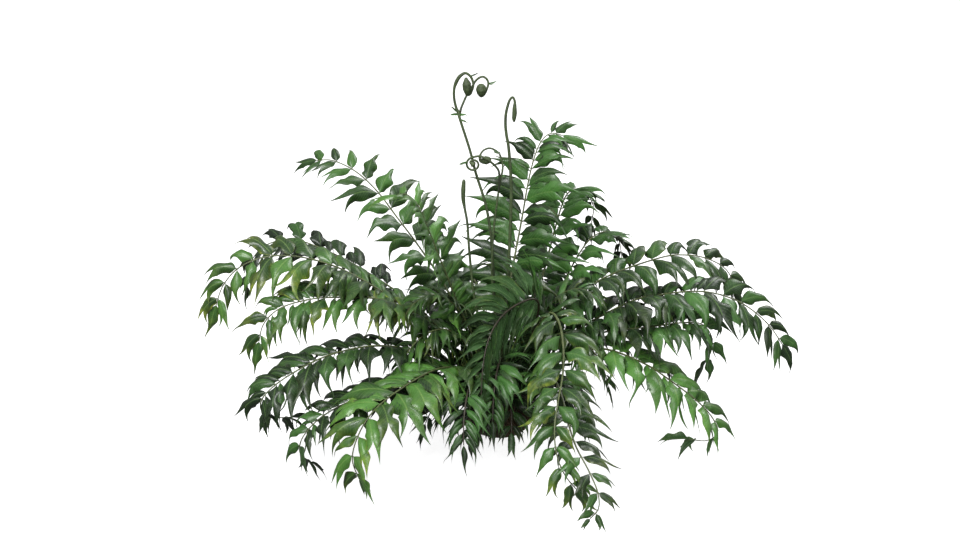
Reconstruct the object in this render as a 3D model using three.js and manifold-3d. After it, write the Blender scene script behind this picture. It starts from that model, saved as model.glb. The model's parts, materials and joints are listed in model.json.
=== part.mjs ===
// A clump of fern with forked leaflets, resting on its own rootstock.
// Millimetres, +Z up. The origin is the middle of the rootstock's flat underside,
// and the front of the clump faces -Y.
import * as THREE from 'three';
import Module from 'manifold-3d';

const wasm = await Module();
wasm.setup();

// Driving dimensions of the rootstock
const CROWN_PROFILE = [[50, 0], [63, 15], [70, 38], [61, 66], [36, 81]];
const CROWN_TOP = 85;
const CROWN_SIDES = 13;
const CROWN_LOBE = 3;
const SOCKET_GAP = 0.45;
const SOCKET_REACH = 34;
const STUB_COUNT = 6;
const STUB_RADIUS = 4.6;
const ROOT_COUNT = 8;
const ROOT_RADIUS = 2.6;
const ROOT_REACH = 92;
const CROWN_SEED = 4111;

// Driving dimensions of a frond: its stem, and its leaflets in near-opposite pairs. Lengths
// are in millimetres, and LEAF_WIDTH is a share of the leaflet's length.
const STEM_STEPS = 16;
const STEM_RADIUS = 4.2;
const STEM_TIP_RADIUS = 1.3;
const FOOT_RINGS = [0, 0.2, 0.45, 0.7];
const BARE_LENGTH = 84;
const PAIR_SPACING = 39;
const PAIR_CROWDING = 0.1;
const STALK_HALF = 2.2;
const STALK_HALF_AT_TIP = 1.32;
const FIRST_SIZE = 0.85;
const SWELL_END = 0.2;
const LATE_SWELL_END = 0.6;
const TIP_TAPER = 0.48;
const LEAF_THICKNESS = 1.4;
const LEAF_WIDTH = 0.33;
const LEAF_FOLD = 0.22;
const LEAF_WAVE = 0.15;
const LEAF_LIFT = 0.3;
const LEAF_TWIST = 1.3;
const LEAF_LIMP = 0.8;
const SWEEP_AT_FOOT = 0.25;
const SWEEP_GAIN = 0.5;
const DROOP_AT_ROOT = 0.5;
const DROOP_GAIN = 1.2;
const FORK_SHARE = 0.6;
const LINE_STEPS = 12;
const FIRST_RING = 3;
const SECOND_RING = 7;
const ONLY_RING = 5;
const FIRST_RING_WIDTH = 0.94;
const FORKED_RING_WIDTH = 0.92;
const PLAIN_RING_WIDTH = 0.62;
const ONLY_RING_WIDTH = 0.96;
const SMALL_LEAF = 90;
const FLOOR_CLEARANCE = 5;
const LEAF_CLEARANCE = 1.2;
const ROOT_CLEARANCE = 0.4;
const GUARD_START = 0.15;
const END_STALK = 14;
const END_LEAF = 0.6;
const DRAW_SEED = 1200;
const DRAW_SEED_STEP = 77;

// The fronds. leaf is the length of the longest leaflets, and droop how far gravity turns them, in
// radians. route is the stem, base first. roll turns the outer half about the stem, in degrees.
// width and spacing belong to the leaflets, bare is the stem's length below them, and early is the
// size of the first leaflets where they start small. A frond that joins another shares its foot.
const FRONDS = [
  {
    tint: '#4c8a35', leaf: 122, droop: 2.1, roll: -65,
    route: [[-39, -1, 68], [-112, -3, 185], [-190, -5, 270], [-305, -10, 350], [-395, -12, 383],
      [-470, -15, 386], [-526, -18, 364], [-560, -20, 326], [-576, -20, 284]],
  },
  {
    tint: '#4f9138', leaf: 128, droop: 1.8,
    route: [[-25, -31, 66], [-54, -68, 140], [-94, -120, 188], [-140, -178, 203],
      [-203, -256, 194], [-246, -306, 174], [-272, -336, 140], [-284, -350, 96], [-272, -346, 52]],
  },
  {
    tint: '#2f5f2c', leaf: 122, droop: 2.1, roll: 60,
    route: [[41, 0, 68], [92, 0, 148], [150, 0, 215], [265, 0, 283], [335, 0, 300],
      [394, 0, 306], [440, 0, 301], [486, 0, 284], [524, 0, 258], [556, 0, 226], [580, 0, 190]],
  },
  {
    tint: '#3b7a31', leaf: 104, droop: 1.6, early: 0.6,
    route: [[10, -38, 68], [42, -60, 180], [74, -84, 262], [100, -116, 304], [116, -170, 298],
      [121, -230, 266], [117, -282, 236], [107, -330, 204], [100, -366, 168], [103, -392, 128],
      [118, -408, 92], [140, -408, 62]],
  },
  {
    tint: '#33702f', leaf: 112, droop: 1.2, roll: -30,
    route: [[-22, 17, 72], [-64, 50, 190], [-112, 84, 284], [-166, 120, 358], [-212, 150, 412],
      [-256, 180, 462], [-302, 210, 496], [-352, 240, 511], [-388, 262, 504]],
  },
  {
    tint: '#2b6330', leaf: 122, droop: 1.2,
    route: [[4, 17, 76], [8, 30, 180], [17, 50, 280], [32, 75, 360], [47, 100, 436],
      [58, 122, 496], [71, 142, 546], [86, 157, 578], [106, 166, 592], [130, 170, 586]],
  },
  {
    tint: '#468a3a', leaf: 120, droop: 1.9,
    route: [[36, -16, 68], [74, -31, 136], [124, -50, 186], [203, -82, 214], [284, -115, 197],
      [338, -136, 168], [394, -158, 130], [424, -171, 98], [433, -176, 70], [412, -168, 50],
      [378, -156, 48]],
  },
  {
    tint: '#3f7f35', leaf: 120, droop: 2.0, roll: -50,
    route: [[-37, -9, 67], [-80, -18, 160], [-128, -28, 235], [-225, -48, 303], [-337, -72, 320],
      [-400, -85, 316], [-444, -95, 302], [-472, -102, 274], [-482, -104, 238]],
  },
  {
    tint: '#3c7a35', leaf: 116, droop: 2.0, roll: 45,
    route: [[37, 10, 70], [78, 20, 165], [126, 32, 250], [184, 46, 298], [243, 61, 326],
      [337, 84, 350], [385, 94, 351], [428, 106, 340], [468, 117, 316], [489, 123, 284],
      [494, 125, 246]],
  },
  {
    tint: '#4f9440', leaf: 110, droop: 1.3,
    route: [[-19, 3, 74], [-40, 10, 150], [-72, 18, 228], [-104, 28, 318], [-128, 36, 380],
      [-147, 44, 428], [-166, 52, 472], [-188, 58, 494], [-210, 62, 492]],
  },
  {
    tint: '#2c5f2b', leaf: 84, droop: 1.4,
    route: [[23, -33, 67], [50, -72, 138], [78, -118, 180], [104, -176, 190], [120, -240, 172],
      [130, -304, 146], [142, -362, 126], [162, -412, 104], [178, -446, 76], [180, -464, 50],
      [164, -472, 32]],
  },
  {
    tint: '#2c5a29', leaf: 112, droop: 1.9, roll: -35,
    route: [[-36, -17, 66], [-82, -36, 142], [-138, -59, 190], [-239, -102, 228],
      [-336, -143, 226], [-414, -176, 197], [-462, -196, 164], [-473, -200, 134],
      [-452, -192, 112], [-418, -178, 106]],
  },
  {
    tint: '#336b2e', leaf: 104, droop: 1.7,
    route: [[-31, -25, 64], [-66, -50, 116], [-112, -84, 146], [-190, -140, 162],
      [-274, -200, 160], [-342, -250, 144], [-382, -278, 112], [-390, -284, 78], [-370, -270, 52]],
  },
  {
    tint: '#2a5628', leaf: 104, droop: 1.7, roll: -40, spacing: 42,
    route: [[-36, 8, 69], [-84, 22, 158], [-136, 37, 222], [-188, 52, 268], [-306, 84, 337],
      [-402, 110, 373], [-448, 122, 375], [-495, 134, 354], [-524, 142, 314], [-534, 146, 268]],
  },
  {
    tint: '#2f6930', leaf: 95, droop: 1.4,
    route: [[26, 22, 72], [62, 52, 150], [105, 88, 226], [152, 128, 314], [190, 160, 362],
      [226, 190, 369], [254, 214, 344], [263, 222, 300]],
  },
  {
    tint: '#2f6a33', leaf: 95, droop: 1.3,
    route: [[11, 25, 74], [34, 52, 160], [62, 88, 232], [92, 132, 296], [118, 190, 376],
      [140, 240, 428], [164, 272, 438], [190, 300, 418], [206, 320, 382], [203, 326, 344]],
  },
  {
    tint: '#2f6230', leaf: 108, droop: 1.8, roll: 40,
    route: [[30, -7, 70], [76, -13, 130], [124, -22, 184], [203, -34, 228], [300, -46, 246],
      [362, -54, 258], [404, -58, 258], [426, -60, 234], [428, -60, 200], [414, -58, 168]],
  },
  {
    tint: '#2a5c2a', leaf: 118, droop: 1.9, width: 0.15, spacing: 25,
    route: [[16, -12, 74], [42, -14, 150], [66, -20, 226], [78, -38, 288], [64, -76, 318],
      [30, -116, 320], [2, -146, 308], [-18, -174, 286], [-30, -198, 256], [-36, -218, 218],
      [-38, -232, 178]],
  },
  {
    tint: '#275327', leaf: 104, droop: 1.8, width: 0.2, spacing: 28,
    route: [[-7, -40, 67], [-22, -78, 140], [-38, -128, 180], [-54, -186, 194], [-66, -240, 178],
      [-72, -280, 142], [-72, -300, 102]],
  },
  {
    tint: '#2a5527', leaf: 100, droop: 1.6, spacing: 45,
    route: [[-8, 38, 68], [-22, 96, 168], [-40, 170, 232], [-58, 250, 248], [-72, 322, 226],
      [-80, 376, 176], [-83, 402, 116]],
  },
  {
    tint: '#2a5527', leaf: 100, droop: 1.6, spacing: 45,
    route: [[6, 40, 68], [26, 102, 172], [48, 178, 238], [72, 262, 250], [92, 336, 222],
      [104, 388, 168], [108, 412, 108]],
  },
  {
    tint: '#2b5426', leaf: 92, droop: 2, width: 0.28, spacing: 25, bare: 40,
    route: [[2, -56, 54], [8, -74, 100], [14, -102, 130], [20, -136, 134], [22, -168, 112],
      [22, -190, 78]],
  },
  {
    tint: '#2b5426', leaf: 92, droop: 2, width: 0.28, spacing: 25, bare: 40,
    route: [[-40, -40, 54], [-58, -56, 100], [-82, -80, 126], [-110, -106, 128],
      [-134, -128, 106], [-150, -142, 76]],
  },
  {
    tint: '#2b5426', leaf: 92, droop: 2, width: 0.28, spacing: 25, bare: 40,
    route: [[50, -30, 54], [66, -46, 100], [92, -66, 126], [120, -86, 128], [146, -106, 106],
      [162, -118, 76]],
  },
  {
    tint: '#274c23', leaf: 88, droop: 2, width: 0.28, spacing: 25, bare: 40,
    route: [[-20, -52, 54], [-26, -72, 98], [-34, -98, 120], [-44, -130, 118], [-52, -158, 96],
      [-56, -176, 66]],
  },
  {
    joins: 'frond_02', leaf: 88, droop: 1.7, width: 0.25, spacing: 26, bare: 70,
    route: [[-25, -31, 66], [-46, -38, 150], [-76, -54, 222], [-116, -78, 254], [-158, -102, 246],
      [-190, -120, 212], [-206, -130, 170]],
  },
  {
    joins: 'frond_07', leaf: 88, droop: 1.7, width: 0.25, spacing: 26, bare: 70,
    route: [[36, -16, 68], [56, -34, 150], [86, -54, 218], [128, -78, 244], [172, -104, 232],
      [202, -122, 196], [216, -130, 154]],
  },
  {
    joins: 'frond_19', leaf: 92, droop: 1.6, width: 0.24, spacing: 25, bare: 60,
    route: [[-7, -40, 67], [0, -56, 130], [4, -84, 184], [0, -126, 210], [-8, -170, 196],
      [-14, -204, 160], [-16, -222, 118]],
  },
  {
    joins: 'frond_10', leaf: 88, droop: 1.4, width: 0.25, spacing: 27, bare: 90,
    route: [[-19, 3, 74], [-34, -8, 150], [-58, -18, 226], [-92, -34, 290], [-134, -52, 318],
      [-172, -68, 306], [-196, -78, 272]],
  },
  {
    joins: 'frond_15', leaf: 88, droop: 1.4, width: 0.25, spacing: 27, bare: 90,
    route: [[26, 22, 72], [46, 18, 150], [78, 16, 228], [116, 14, 286], [156, 10, 308],
      [192, 4, 296], [214, 0, 262]],
  },
];

// Curled young fronds. A shoot is a rod along its route with the given radius at each stop; a coil
// goes on from the last stop, turning in the plane that faces the front, anticlockwise if positive.
const CROSIERS = [
  {
    name: 'crosier_tall',
    shoots: [
      {
        route: [[-6, -2, 72], [-8, 6, 180], [-12, 20, 300], [-17, 30, 400], [-28, 38, 474], [-49, 40, 545],
          [-61, 42, 593], [-80, 45, 654], [-83, 48, 667], [-88, 50, 678], [-92, 50, 697], [-92, 50, 716],
          [-88, 50, 730], [-81, 50, 742], [-70, 50, 749], [-60, 50, 743], [-55, 49, 733], [-54, 47, 723],
          [-57, 45, 714], [-60, 41, 709], [-65, 38, 710], [-66, 37, 719], [-67, 37, 730], [-68, 38, 739],
          [-69, 39, 743]],
        radii: [3, 2.9, 2.8, 2.8, 2.7, 2.7, 2.6, 2.6, 3.6, 2.6, 2.5, 2.5, 3.4, 3.4, 2.5, 2.4, 2.3, 2.2, 2.2,
          2.4, 4.5, 8, 8, 4, 1.5],
      },
      {
        route: [[-81, 48, 661], [-79, 52, 674], [-74, 58, 686], [-65, 62, 705], [-55, 66, 719],
          [-50, 67, 728], [-42, 68, 735], [-34, 68, 737], [-27, 68, 732], [-24, 67, 724], [-26, 65, 715],
          [-31, 60, 705], [-37, 54, 702], [-38, 52, 707], [-38, 51, 715], [-38, 51, 723], [-38, 52, 727]],
        radii: [2.2, 2.2, 2.1, 2.1, 2.1, 2.1, 2.1, 2.1, 2.1, 2.1, 2.1, 2.3, 3.5, 8, 10.5, 8, 3],
      },
    ],
    sprigs: [
      { from: [-83, 48, 667], to: [-99, 46, 668], drop: 0.5 },
      { from: [-84, 48, 670], to: [-94, 46, 680], drop: 0.2 },
      { from: [-82, 48, 666], to: [-70, 44, 668], drop: 0.5 },
      { from: [-80, 45, 656], to: [-62, 42, 651], drop: 0.6 },
      { from: [-60, 50, 743], to: [-39, 46, 754], drop: 0.2 },
      { from: [-24, 67, 724], to: [-3, 64, 731], drop: 0.2 },
    ],
  },
  {
    name: 'crosier_forked',
    shoots: [
      {
        route: [[4, -13, 72], [2, -8, 160], [-8, 0, 250], [-16, 8, 330], [-14, 14, 420], [-5, 20, 500],
          [1, 22, 539], [4, 24, 552], [5, 26, 563], [3, 28, 576], [-3, 30, 590], [-14, 30, 598],
          [-23, 30, 600], [-33, 30, 596], [-39, 28, 589], [-41, 26, 581], [-37, 24, 576], [-29, 23, 577],
          [-22, 23, 578], [-18, 23, 578.5]],
        radii: [3, 2.6, 2.4, 2.2, 2.1, 2, 2, 1.9, 1.8, 1.8, 1.8, 1.8, 1.8, 1.8, 1.9, 2.4, 5, 8.5, 6.5, 2.5],
      },
      {
        route: [[-4, 20, 512], [-2, 20, 530], [-2, 19, 549], [-6, 17, 562], [-19, 14, 576], [-33, 12, 586],
          [-43, 15, 588]],
        coil: { centre: [-54, 18, 570], outer: 14.5, inner: 8, start: 100, turn: 400 },
        radii: [1.8, 1.7],
        bud: 5,
      },
    ],
    sprigs: [
      { from: [-14, 30, 598], to: [10, 24, 590], drop: 0.5 },
      { from: [-66, 18, 576], to: [-86, 14, 572], drop: 0.3 },
    ],
  },
  {
    name: 'crosier_closed',
    shoots: [
      {
        route: [[-17, -12, 71], [-26, -14, 150], [-40, -12, 230], [-54, -6, 310], [-62, 0, 390],
          [-66, 3, 450], [-71, 6, 480], [-74, 8, 500], [-74, 9, 520], [-73, 10, 536], [-73, 10, 541]],
        radii: [2.8, 2.7, 2.6, 2.5, 2.4, 2.3, 2.4, 3.8, 4.3, 3.4, 1.4],
      },
    ],
    sprigs: [],
  },
  {
    name: 'crosier_hooked',
    shoots: [
      {
        route: [[6, 2, 73], [10, 6, 180], [15, 12, 300], [20, 16, 420], [22, 18, 520], [17, 20, 599],
          [12, 22, 630], [10, 23, 652], [11, 24, 674], [16, 25, 695], [20, 26, 703], [24, 26, 706],
          [27, 26, 702], [28.5, 26, 695], [28, 25.5, 685], [28, 25.5, 674], [27, 25, 663], [27, 25, 656]],
        radii: [3, 3, 3, 3, 3, 2.9, 2.9, 2.8, 2.7, 2.5, 2.3, 2.2, 2.2, 2.6, 4, 4.8, 4, 1.6],
      },
    ],
    sprigs: [],
  },
];

// Driving dimensions of the curled young fronds, with angles in degrees and shares of a bud's radius
const SPRIG_LENGTH = 20;
const SPRIG_ROOT = 1;
const CROSIER_SOCKET_RADIUS = 3;
const SHOOT_SIDES = 4;
const SHOOT_STEPS = 1;
const COIL_STEP = 36;
const CROSIER_SEED = 905;
const BUD_REACH = 0.65;
const BUD_SWELL = [0.7, 1, 0.55];

// Choices for a leaflet that would touch something, in the order they are tried:
// [extra droop, extra sweep towards the frond's tip, share of the full length]
const BENDS = [
  [0, 0, 1], [0.3, 0, 1], [-0.3, 0, 1], [0, 0.2, 1], [0, -0.2, 1], [0.6, 0, 1], [-0.6, 0, 1],
  [0, -0.4, 0.92], [0.4, 0.2, 0.86], [-0.4, 0.2, 0.86], [-0.5, -0.4, 0.84], [0, 0, 0.8], [0.9, 0, 0.8],
  [-0.9, 0, 0.8], [-0.8, -0.5, 0.76], [0, 0.3, 0.72], [0.6, 0, 0.66], [-0.6, 0, 0.66], [0, 0, 0.58],
  [1, 0, 0.52], [-1, 0, 0.52], [-1, -0.5, 0.5], [0, 0, 0.42], [0, 0.3, 0.34], [-0.8, -0.3, 0.3],
];

const DOWN = new THREE.Vector3(0, 0, -1);

// Seeded draws, so that every build grows the same clump
function seededDraws(seed) {
  let state = seed;
  return () => {
    state = (state * 16807) % 2147483647;
    return state / 2147483647;
  };
}

function smooth(value) {
  const x = Math.min(1, Math.max(0, value));
  return x * x * (3 - 2 * x);
}

function mix(a, b, share) {
  return a + (b - a) * share;
}

// Geometry of one closed body, gathered as points and triangles
class Body {
  constructor() {
    this.points = [];
    this.faces = [];
  }

  ring(vectors) {
    return vectors.map((vector) => this.point(vector));
  }

  point(vector) {
    this.points.push(vector);
    return this.points.length - 1;
  }

  face(a, b, c) {
    this.faces.push([a, b, c]);
  }

  // Side faces between two rings that run counter-clockwise about the way ahead
  skin(from, to) {
    const count = from.length;
    for (let j = 0; j < count; j += 1) {
      const k = (j + 1) % count;
      this.face(from[j], from[k], to[k]);
      this.face(from[j], to[k], to[j]);
    }
  }

  // Side faces of a blade, ring order edge, top, edge, underside: both faces split alike
  skinBlade(from, to) {
    for (let j = 0; j < 4; j += 1) {
      const k = (j + 1) % 4;
      if (j < 2) {
        this.face(from[j], from[k], to[k]);
        this.face(from[j], to[k], to[j]);
      } else {
        this.face(from[j], from[k], to[j]);
        this.face(from[k], to[k], to[j]);
      }
    }
  }

  closeStart(ring) {
    for (let j = 1; j < ring.length - 1; j += 1) {
      this.face(ring[0], ring[j + 1], ring[j]);
    }
  }

  closeEnd(ring) {
    for (let j = 1; j < ring.length - 1; j += 1) {
      this.face(ring[0], ring[j], ring[j + 1]);
    }
  }

  solid() {
    const vertProperties = new Float32Array(this.points.flatMap((p) => [p.x, p.y, p.z]));
    const triVerts = new Uint32Array(this.faces.flat());
    return new wasm.Manifold(new wasm.Mesh({ numProp: 3, vertProperties, triVerts }));
  }

  geometry() {
    const geometry = new THREE.BufferGeometry();
    const positions = this.points.flatMap((p) => [p.x, p.y, p.z]);
    geometry.setAttribute('position', new THREE.Float32BufferAttribute(positions, 3));
    geometry.setIndex(this.faces.flat());
    geometry.computeVertexNormals();
    return geometry;
  }
}

function solidGeometry(solid) {
  const mesh = solid.getMesh();
  const geometry = new THREE.BufferGeometry();
  geometry.setAttribute('position', new THREE.Float32BufferAttribute(mesh.vertProperties, 3));
  geometry.setIndex(Array.from(mesh.triVerts));
  geometry.computeVertexNormals();
  return geometry;
}

// A smooth route through the given points, with a frame that rolls about it only where it is told to
class Route {
  constructor(points, stepsPerSpan, roll = 0) {
    const stops = points.map(([x, y, z]) => new THREE.Vector3(x, y, z));
    const last = stops.length - 1;
    this.points = [];
    for (let span = 0; span < last; span += 1) {
      const before = stops[Math.max(0, span - 1)];
      const after = stops[Math.min(last, span + 2)];
      for (let k = 0; k < stepsPerSpan; k += 1) {
        this.points.push(Route.between(before, stops[span], stops[span + 1], after, k / stepsPerSpan));
      }
    }
    this.points.push(stops[last].clone());
    this.measure();
    this.carryFrame();
    this.rollTowardsTip(THREE.MathUtils.degToRad(roll));
  }

  static between(before, start, end, after, t) {
    const startPull = end.clone().sub(before).multiplyScalar(0.5);
    const endPull = after.clone().sub(start).multiplyScalar(0.5);
    return start.clone().multiplyScalar(2 * t ** 3 - 3 * t ** 2 + 1)
      .addScaledVector(startPull, t ** 3 - 2 * t ** 2 + t)
      .addScaledVector(end, 3 * t ** 2 - 2 * t ** 3)
      .addScaledVector(endPull, t ** 3 - t ** 2);
  }

  measure() {
    this.distances = [0];
    for (let k = 1; k < this.points.length; k += 1) {
      this.distances.push(this.distances[k - 1] + this.points[k].distanceTo(this.points[k - 1]));
    }
    this.length = this.distances[this.distances.length - 1];
  }

  carryFrame() {
    const last = this.points.length - 1;
    const lean = this.points[Math.min(last, 40)].clone().sub(this.points[0]);
    const side = new THREE.Vector3(-lean.y, lean.x, 0).normalize();
    this.frames = this.points.map((point, k) => {
      const ahead = this.points[Math.min(last, k + 1)];
      const behind = this.points[Math.max(0, k - 1)];
      const along = ahead.clone().sub(behind).normalize();
      side.addScaledVector(along, -side.dot(along)).normalize();
      return { along, side: side.clone() };
    });
  }

  // Turns the frame about the route, more and more over its outer half
  rollTowardsTip(roll) {
    this.frames.forEach(({ along, side }, k) => {
      side.applyAxisAngle(along, roll * smooth((2 * this.distances[k]) / this.length - 1));
    });
  }

  allFrames() {
    return this.points.map((point, k) => {
      const { along, side } = this.frames[k];
      return { point, along, side, up: along.clone().cross(side) };
    });
  }

  at(distance) {
    const last = this.points.length - 1;
    let k = 1;
    while (k < last && this.distances[k] < distance) {
      k += 1;
    }
    const share = (distance - this.distances[k - 1]) / (this.distances[k] - this.distances[k - 1]);
    const point = this.points[k - 1].clone().lerp(this.points[k], share);
    const along = this.frames[k - 1].along.clone().lerp(this.frames[k].along, share).normalize();
    const side = this.frames[k - 1].side.clone().lerp(this.frames[k].side, share);
    side.addScaledVector(along, -side.dot(along)).normalize();
    return { point, along, side, up: along.clone().cross(side) };
  }
}

// Corner of a stem's square section, set by shares of the radius to the side and up
function corner(frame, radius, sideShare, upShare, ahead = 0) {
  return frame.point.clone()
    .addScaledVector(frame.side, radius * sideShare)
    .addScaledVector(frame.up, radius * upShare)
    .addScaledVector(frame.along, ahead);
}

function stemRing(frame, radius) {
  return [corner(frame, radius, 1, 0), corner(frame, radius, 0, 1),
    corner(frame, radius, -1, 0), corner(frame, radius, 0, -1)];
}

function stemRadius(route, distance) {
  return mix(STEM_RADIUS, STEM_TIP_RADIUS, distance / route.length);
}

// Round rod through frames with a radius for each
function rod(frames, radii, sides) {
  const body = new Body();
  const rings = frames.map((frame, index) => {
    const corners = [];
    for (let j = 0; j < sides; j += 1) {
      const angle = (2 * Math.PI * j) / sides;
      corners.push(corner(frame, radii[index], Math.cos(angle), Math.sin(angle)));
    }
    return body.ring(corners);
  });
  body.closeStart(rings[0]);
  for (let k = 1; k < rings.length; k += 1) {
    body.skin(rings[k - 1], rings[k]);
  }
  body.closeEnd(rings[rings.length - 1]);
  return body;
}

// What one leaflet looks like, drawn once however it is then bent
function drawCharacter(draw, width = LEAF_WIDTH) {
  return {
    width,
    forked: draw() < FORK_SHARE,
    twist: (draw() - 0.5) * LEAF_TWIST,
    stretch: 0.9 + 0.2 * draw(),
    limp: (draw() - 0.5) * LEAF_LIMP,
    spread: 0.65 + 0.3 * draw(),
    shorter: 0.8 + 0.15 * draw(),
    waves: [draw(), draw(), draw(), draw()].map((value) => (value - 0.5) * 2 * LEAF_WAVE),
  };
}

// The midrib, stepped from the stem outwards while gravity turns it down
function midrib(start, along, up, length, droop, twist) {
  const point = start.clone();
  const ahead = along.clone();
  const normal = up.clone();
  const line = [];
  for (let k = 0; k <= LINE_STEPS; k += 1) {
    line.push({ point: point.clone(), along: ahead.clone(), up: normal.clone() });
    point.addScaledVector(ahead, length / LINE_STEPS);
    const pull = DOWN.clone().addScaledVector(ahead, -DOWN.dot(ahead));
    const weight = DROOP_AT_ROOT + (DROOP_GAIN * k) / LINE_STEPS;
    ahead.addScaledVector(pull, (droop * weight) / LINE_STEPS).normalize();
    normal.addScaledVector(ahead, -normal.dot(ahead)).normalize();
    normal.applyAxisAngle(ahead, twist / LINE_STEPS);
  }
  return line;
}

// Cross-section of the blade: two edges below the midrib, and the midrib's two faces
function bladeRing(spot, halfWidth, waveA, waveB, margin = 0) {
  const across = spot.up.clone().cross(spot.along);
  const grown = 1 + margin / halfWidth;
  const edge = (side, wave) => spot.point.clone()
    .addScaledVector(across, side * halfWidth * grown)
    .addScaledVector(spot.up, (wave - LEAF_FOLD * halfWidth) * grown);
  return [
    edge(1, waveA),
    spot.point.clone().addScaledVector(spot.up, LEAF_THICKNESS / 2 + margin),
    edge(-1, waveB),
    spot.point.clone().addScaledVector(spot.up, -LEAF_THICKNESS / 2 - margin),
  ];
}

// One or two rings and one or two tips of a leaflet, all of it grown by the margin
function bladeForm(line, length, character, margin = 0) {
  const width = (character.width * length) / 2;
  const [waveA, waveB, waveC, waveD] = character.waves.map((wave) => wave * width);
  const end = line[LINE_STEPS];
  const across = end.up.clone().cross(end.along);
  const rings = [];
  if (length < SMALL_LEAF) {
    rings.push(bladeRing(line[ONLY_RING], ONLY_RING_WIDTH * width, waveA, waveB, margin));
  } else {
    const second = character.forked ? FORKED_RING_WIDTH : PLAIN_RING_WIDTH;
    rings.push(bladeRing(line[FIRST_RING], FIRST_RING_WIDTH * width, waveA, waveB, margin));
    rings.push(bladeRing(line[SECOND_RING], second * width, waveC, waveD, margin));
  }
  const tips = character.forked
    ? [
      end.point.clone().addScaledVector(across, character.spread * width),
      end.point.clone().addScaledVector(across, -character.spread * width)
        .addScaledVector(end.along, -(1 - character.shorter) * length),
    ]
    : [end.point.clone()];
  const stem = line[length < SMALL_LEAF ? ONLY_RING : SECOND_RING].point;
  for (const tip of tips) {
    tip.addScaledVector(tip.clone().sub(stem).normalize(), margin);
  }
  return { rings, tips };
}

function addTips(body, ring, tips) {
  const [edgeA, top, edgeB, under] = ring;
  const first = body.point(tips[0]);
  if (tips.length === 1) {
    body.face(edgeA, top, first);
    body.face(top, edgeB, first);
    body.face(edgeB, under, first);
    body.face(under, edgeA, first);
    return;
  }
  const second = body.point(tips[1]);
  body.face(edgeA, top, first);
  body.face(top, under, first);
  body.face(under, edgeA, first);
  body.face(top, edgeB, second);
  body.face(edgeB, under, second);
  body.face(under, top, second);
}

function addBlade(body, baseRing, form) {
  let ring = baseRing;
  for (const vectors of form.rings) {
    const next = body.ring(vectors);
    body.skinBlade(ring, next);
    ring = next;
  }
  addTips(body, ring, form.tips);
}

// A leaflet as a solid by itself, from just off the stem outwards, for testing what it would touch
function bladeSolid(socket, form) {
  const body = new Body();
  const root = body.ring(socket.map((vector, j) => vector.clone().lerp(form.rings[0][j], GUARD_START)));
  body.closeStart(root);
  addBlade(body, root, form);
  return body.solid();
}

// The short root of a leaflet, from the stem to a little past where the solid above begins
function rootSolid(socket, form) {
  const body = new Body();
  const start = body.ring(socket);
  const end = body.ring(socket.map((vector, j) => vector.clone().lerp(form.rings[0][j], 2 * GUARD_START)));
  body.closeStart(start);
  body.skinBlade(start, end);
  body.closeEnd(end);
  return body.solid();
}

// Everything placed so far, each thing with the piece it belongs to
class Surroundings {
  constructor() {
    this.things = [];
  }

  add(solid, owner) {
    this.things.push({ solid, owner, box: solid.boundingBox() });
  }

  isClear(solid, ignoredOwner = null) {
    const box = solid.boundingBox();
    if (box.min[2] < FLOOR_CLEARANCE) {
      return false;
    }
    return !this.things.some((thing) => {
      for (let axis = 0; axis < 3; axis += 1) {
        if (thing.box.min[axis] > box.max[axis] || thing.box.max[axis] < box.min[axis]) {
          return false;
        }
      }
      return thing.owner !== ignoredOwner && !thing.solid.intersect(solid).isEmpty();
    });
  }

  // Keeps room for a leaflet if its grown form is clear, and says whether it was
  takes(owner, socket, form, grown) {
    const clear = this.isClear(bladeSolid(socket, grown)) && this.isClear(rootSolid(socket, grown), owner);
    if (clear) {
      this.add(bladeSolid(socket, form), owner);
      this.add(rootSolid(socket, form), owner);
    }
    return clear;
  }
}

// Whether the two prongs of a forked tip stay on their own sides of the midrib
function prongsApart({ rings, tips }) {
  const [edgeA, top, edgeB, under] = rings[rings.length - 1];
  const [first, second] = tips.map((tip) => tip.clone().sub(top));
  if (!second) {
    return true;
  }
  const middle = first.clone().normalize().add(second.clone().normalize());
  const normal = middle.cross(under.clone().sub(top));
  const sideA = edgeA.clone().sub(top).dot(normal);
  const sideB = edgeB.clone().sub(top).dot(normal);
  return sideA * sideB < 0 && first.dot(normal) * sideA > 0 && second.dot(normal) * sideB > 0;
}

// Whether all the given spots lie outside the plane through three corners of a stem with this core
function allOutside(corners, core, spots) {
  const [a, b, c] = corners;
  const normal = b.clone().sub(a).cross(c.clone().sub(a)).normalize();
  const inward = Math.sign(core.clone().sub(a).dot(normal));
  return spots.every((spot) => spot.clone().sub(a).dot(normal) * inward < -ROOT_CLEARANCE);
}

// Whether a leaflet's root stays outside the stretches of stem before and after it
function leavesStem(form, [before, here, after], sideSign) {
  const side = sideSign > 0 ? 0 : 1;
  const [edgeA, top, edgeB, under] = form.rings[0];
  const [back, front] = sideSign > 0 ? [edgeA, edgeB] : [edgeB, edgeA];
  const core = here.frame.point;
  return allOutside([here.top, here.fronts[side], after.backs[side]], core, [front, top])
    && allOutside([here.under, here.fronts[side], after.backs[side]], core, [front, under])
    && allOutside([here.top, here.backs[side], before.fronts[side]], core, [back, top])
    && allOutside([here.under, here.backs[side], before.fronts[side]], core, [back, under]);
}

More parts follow.
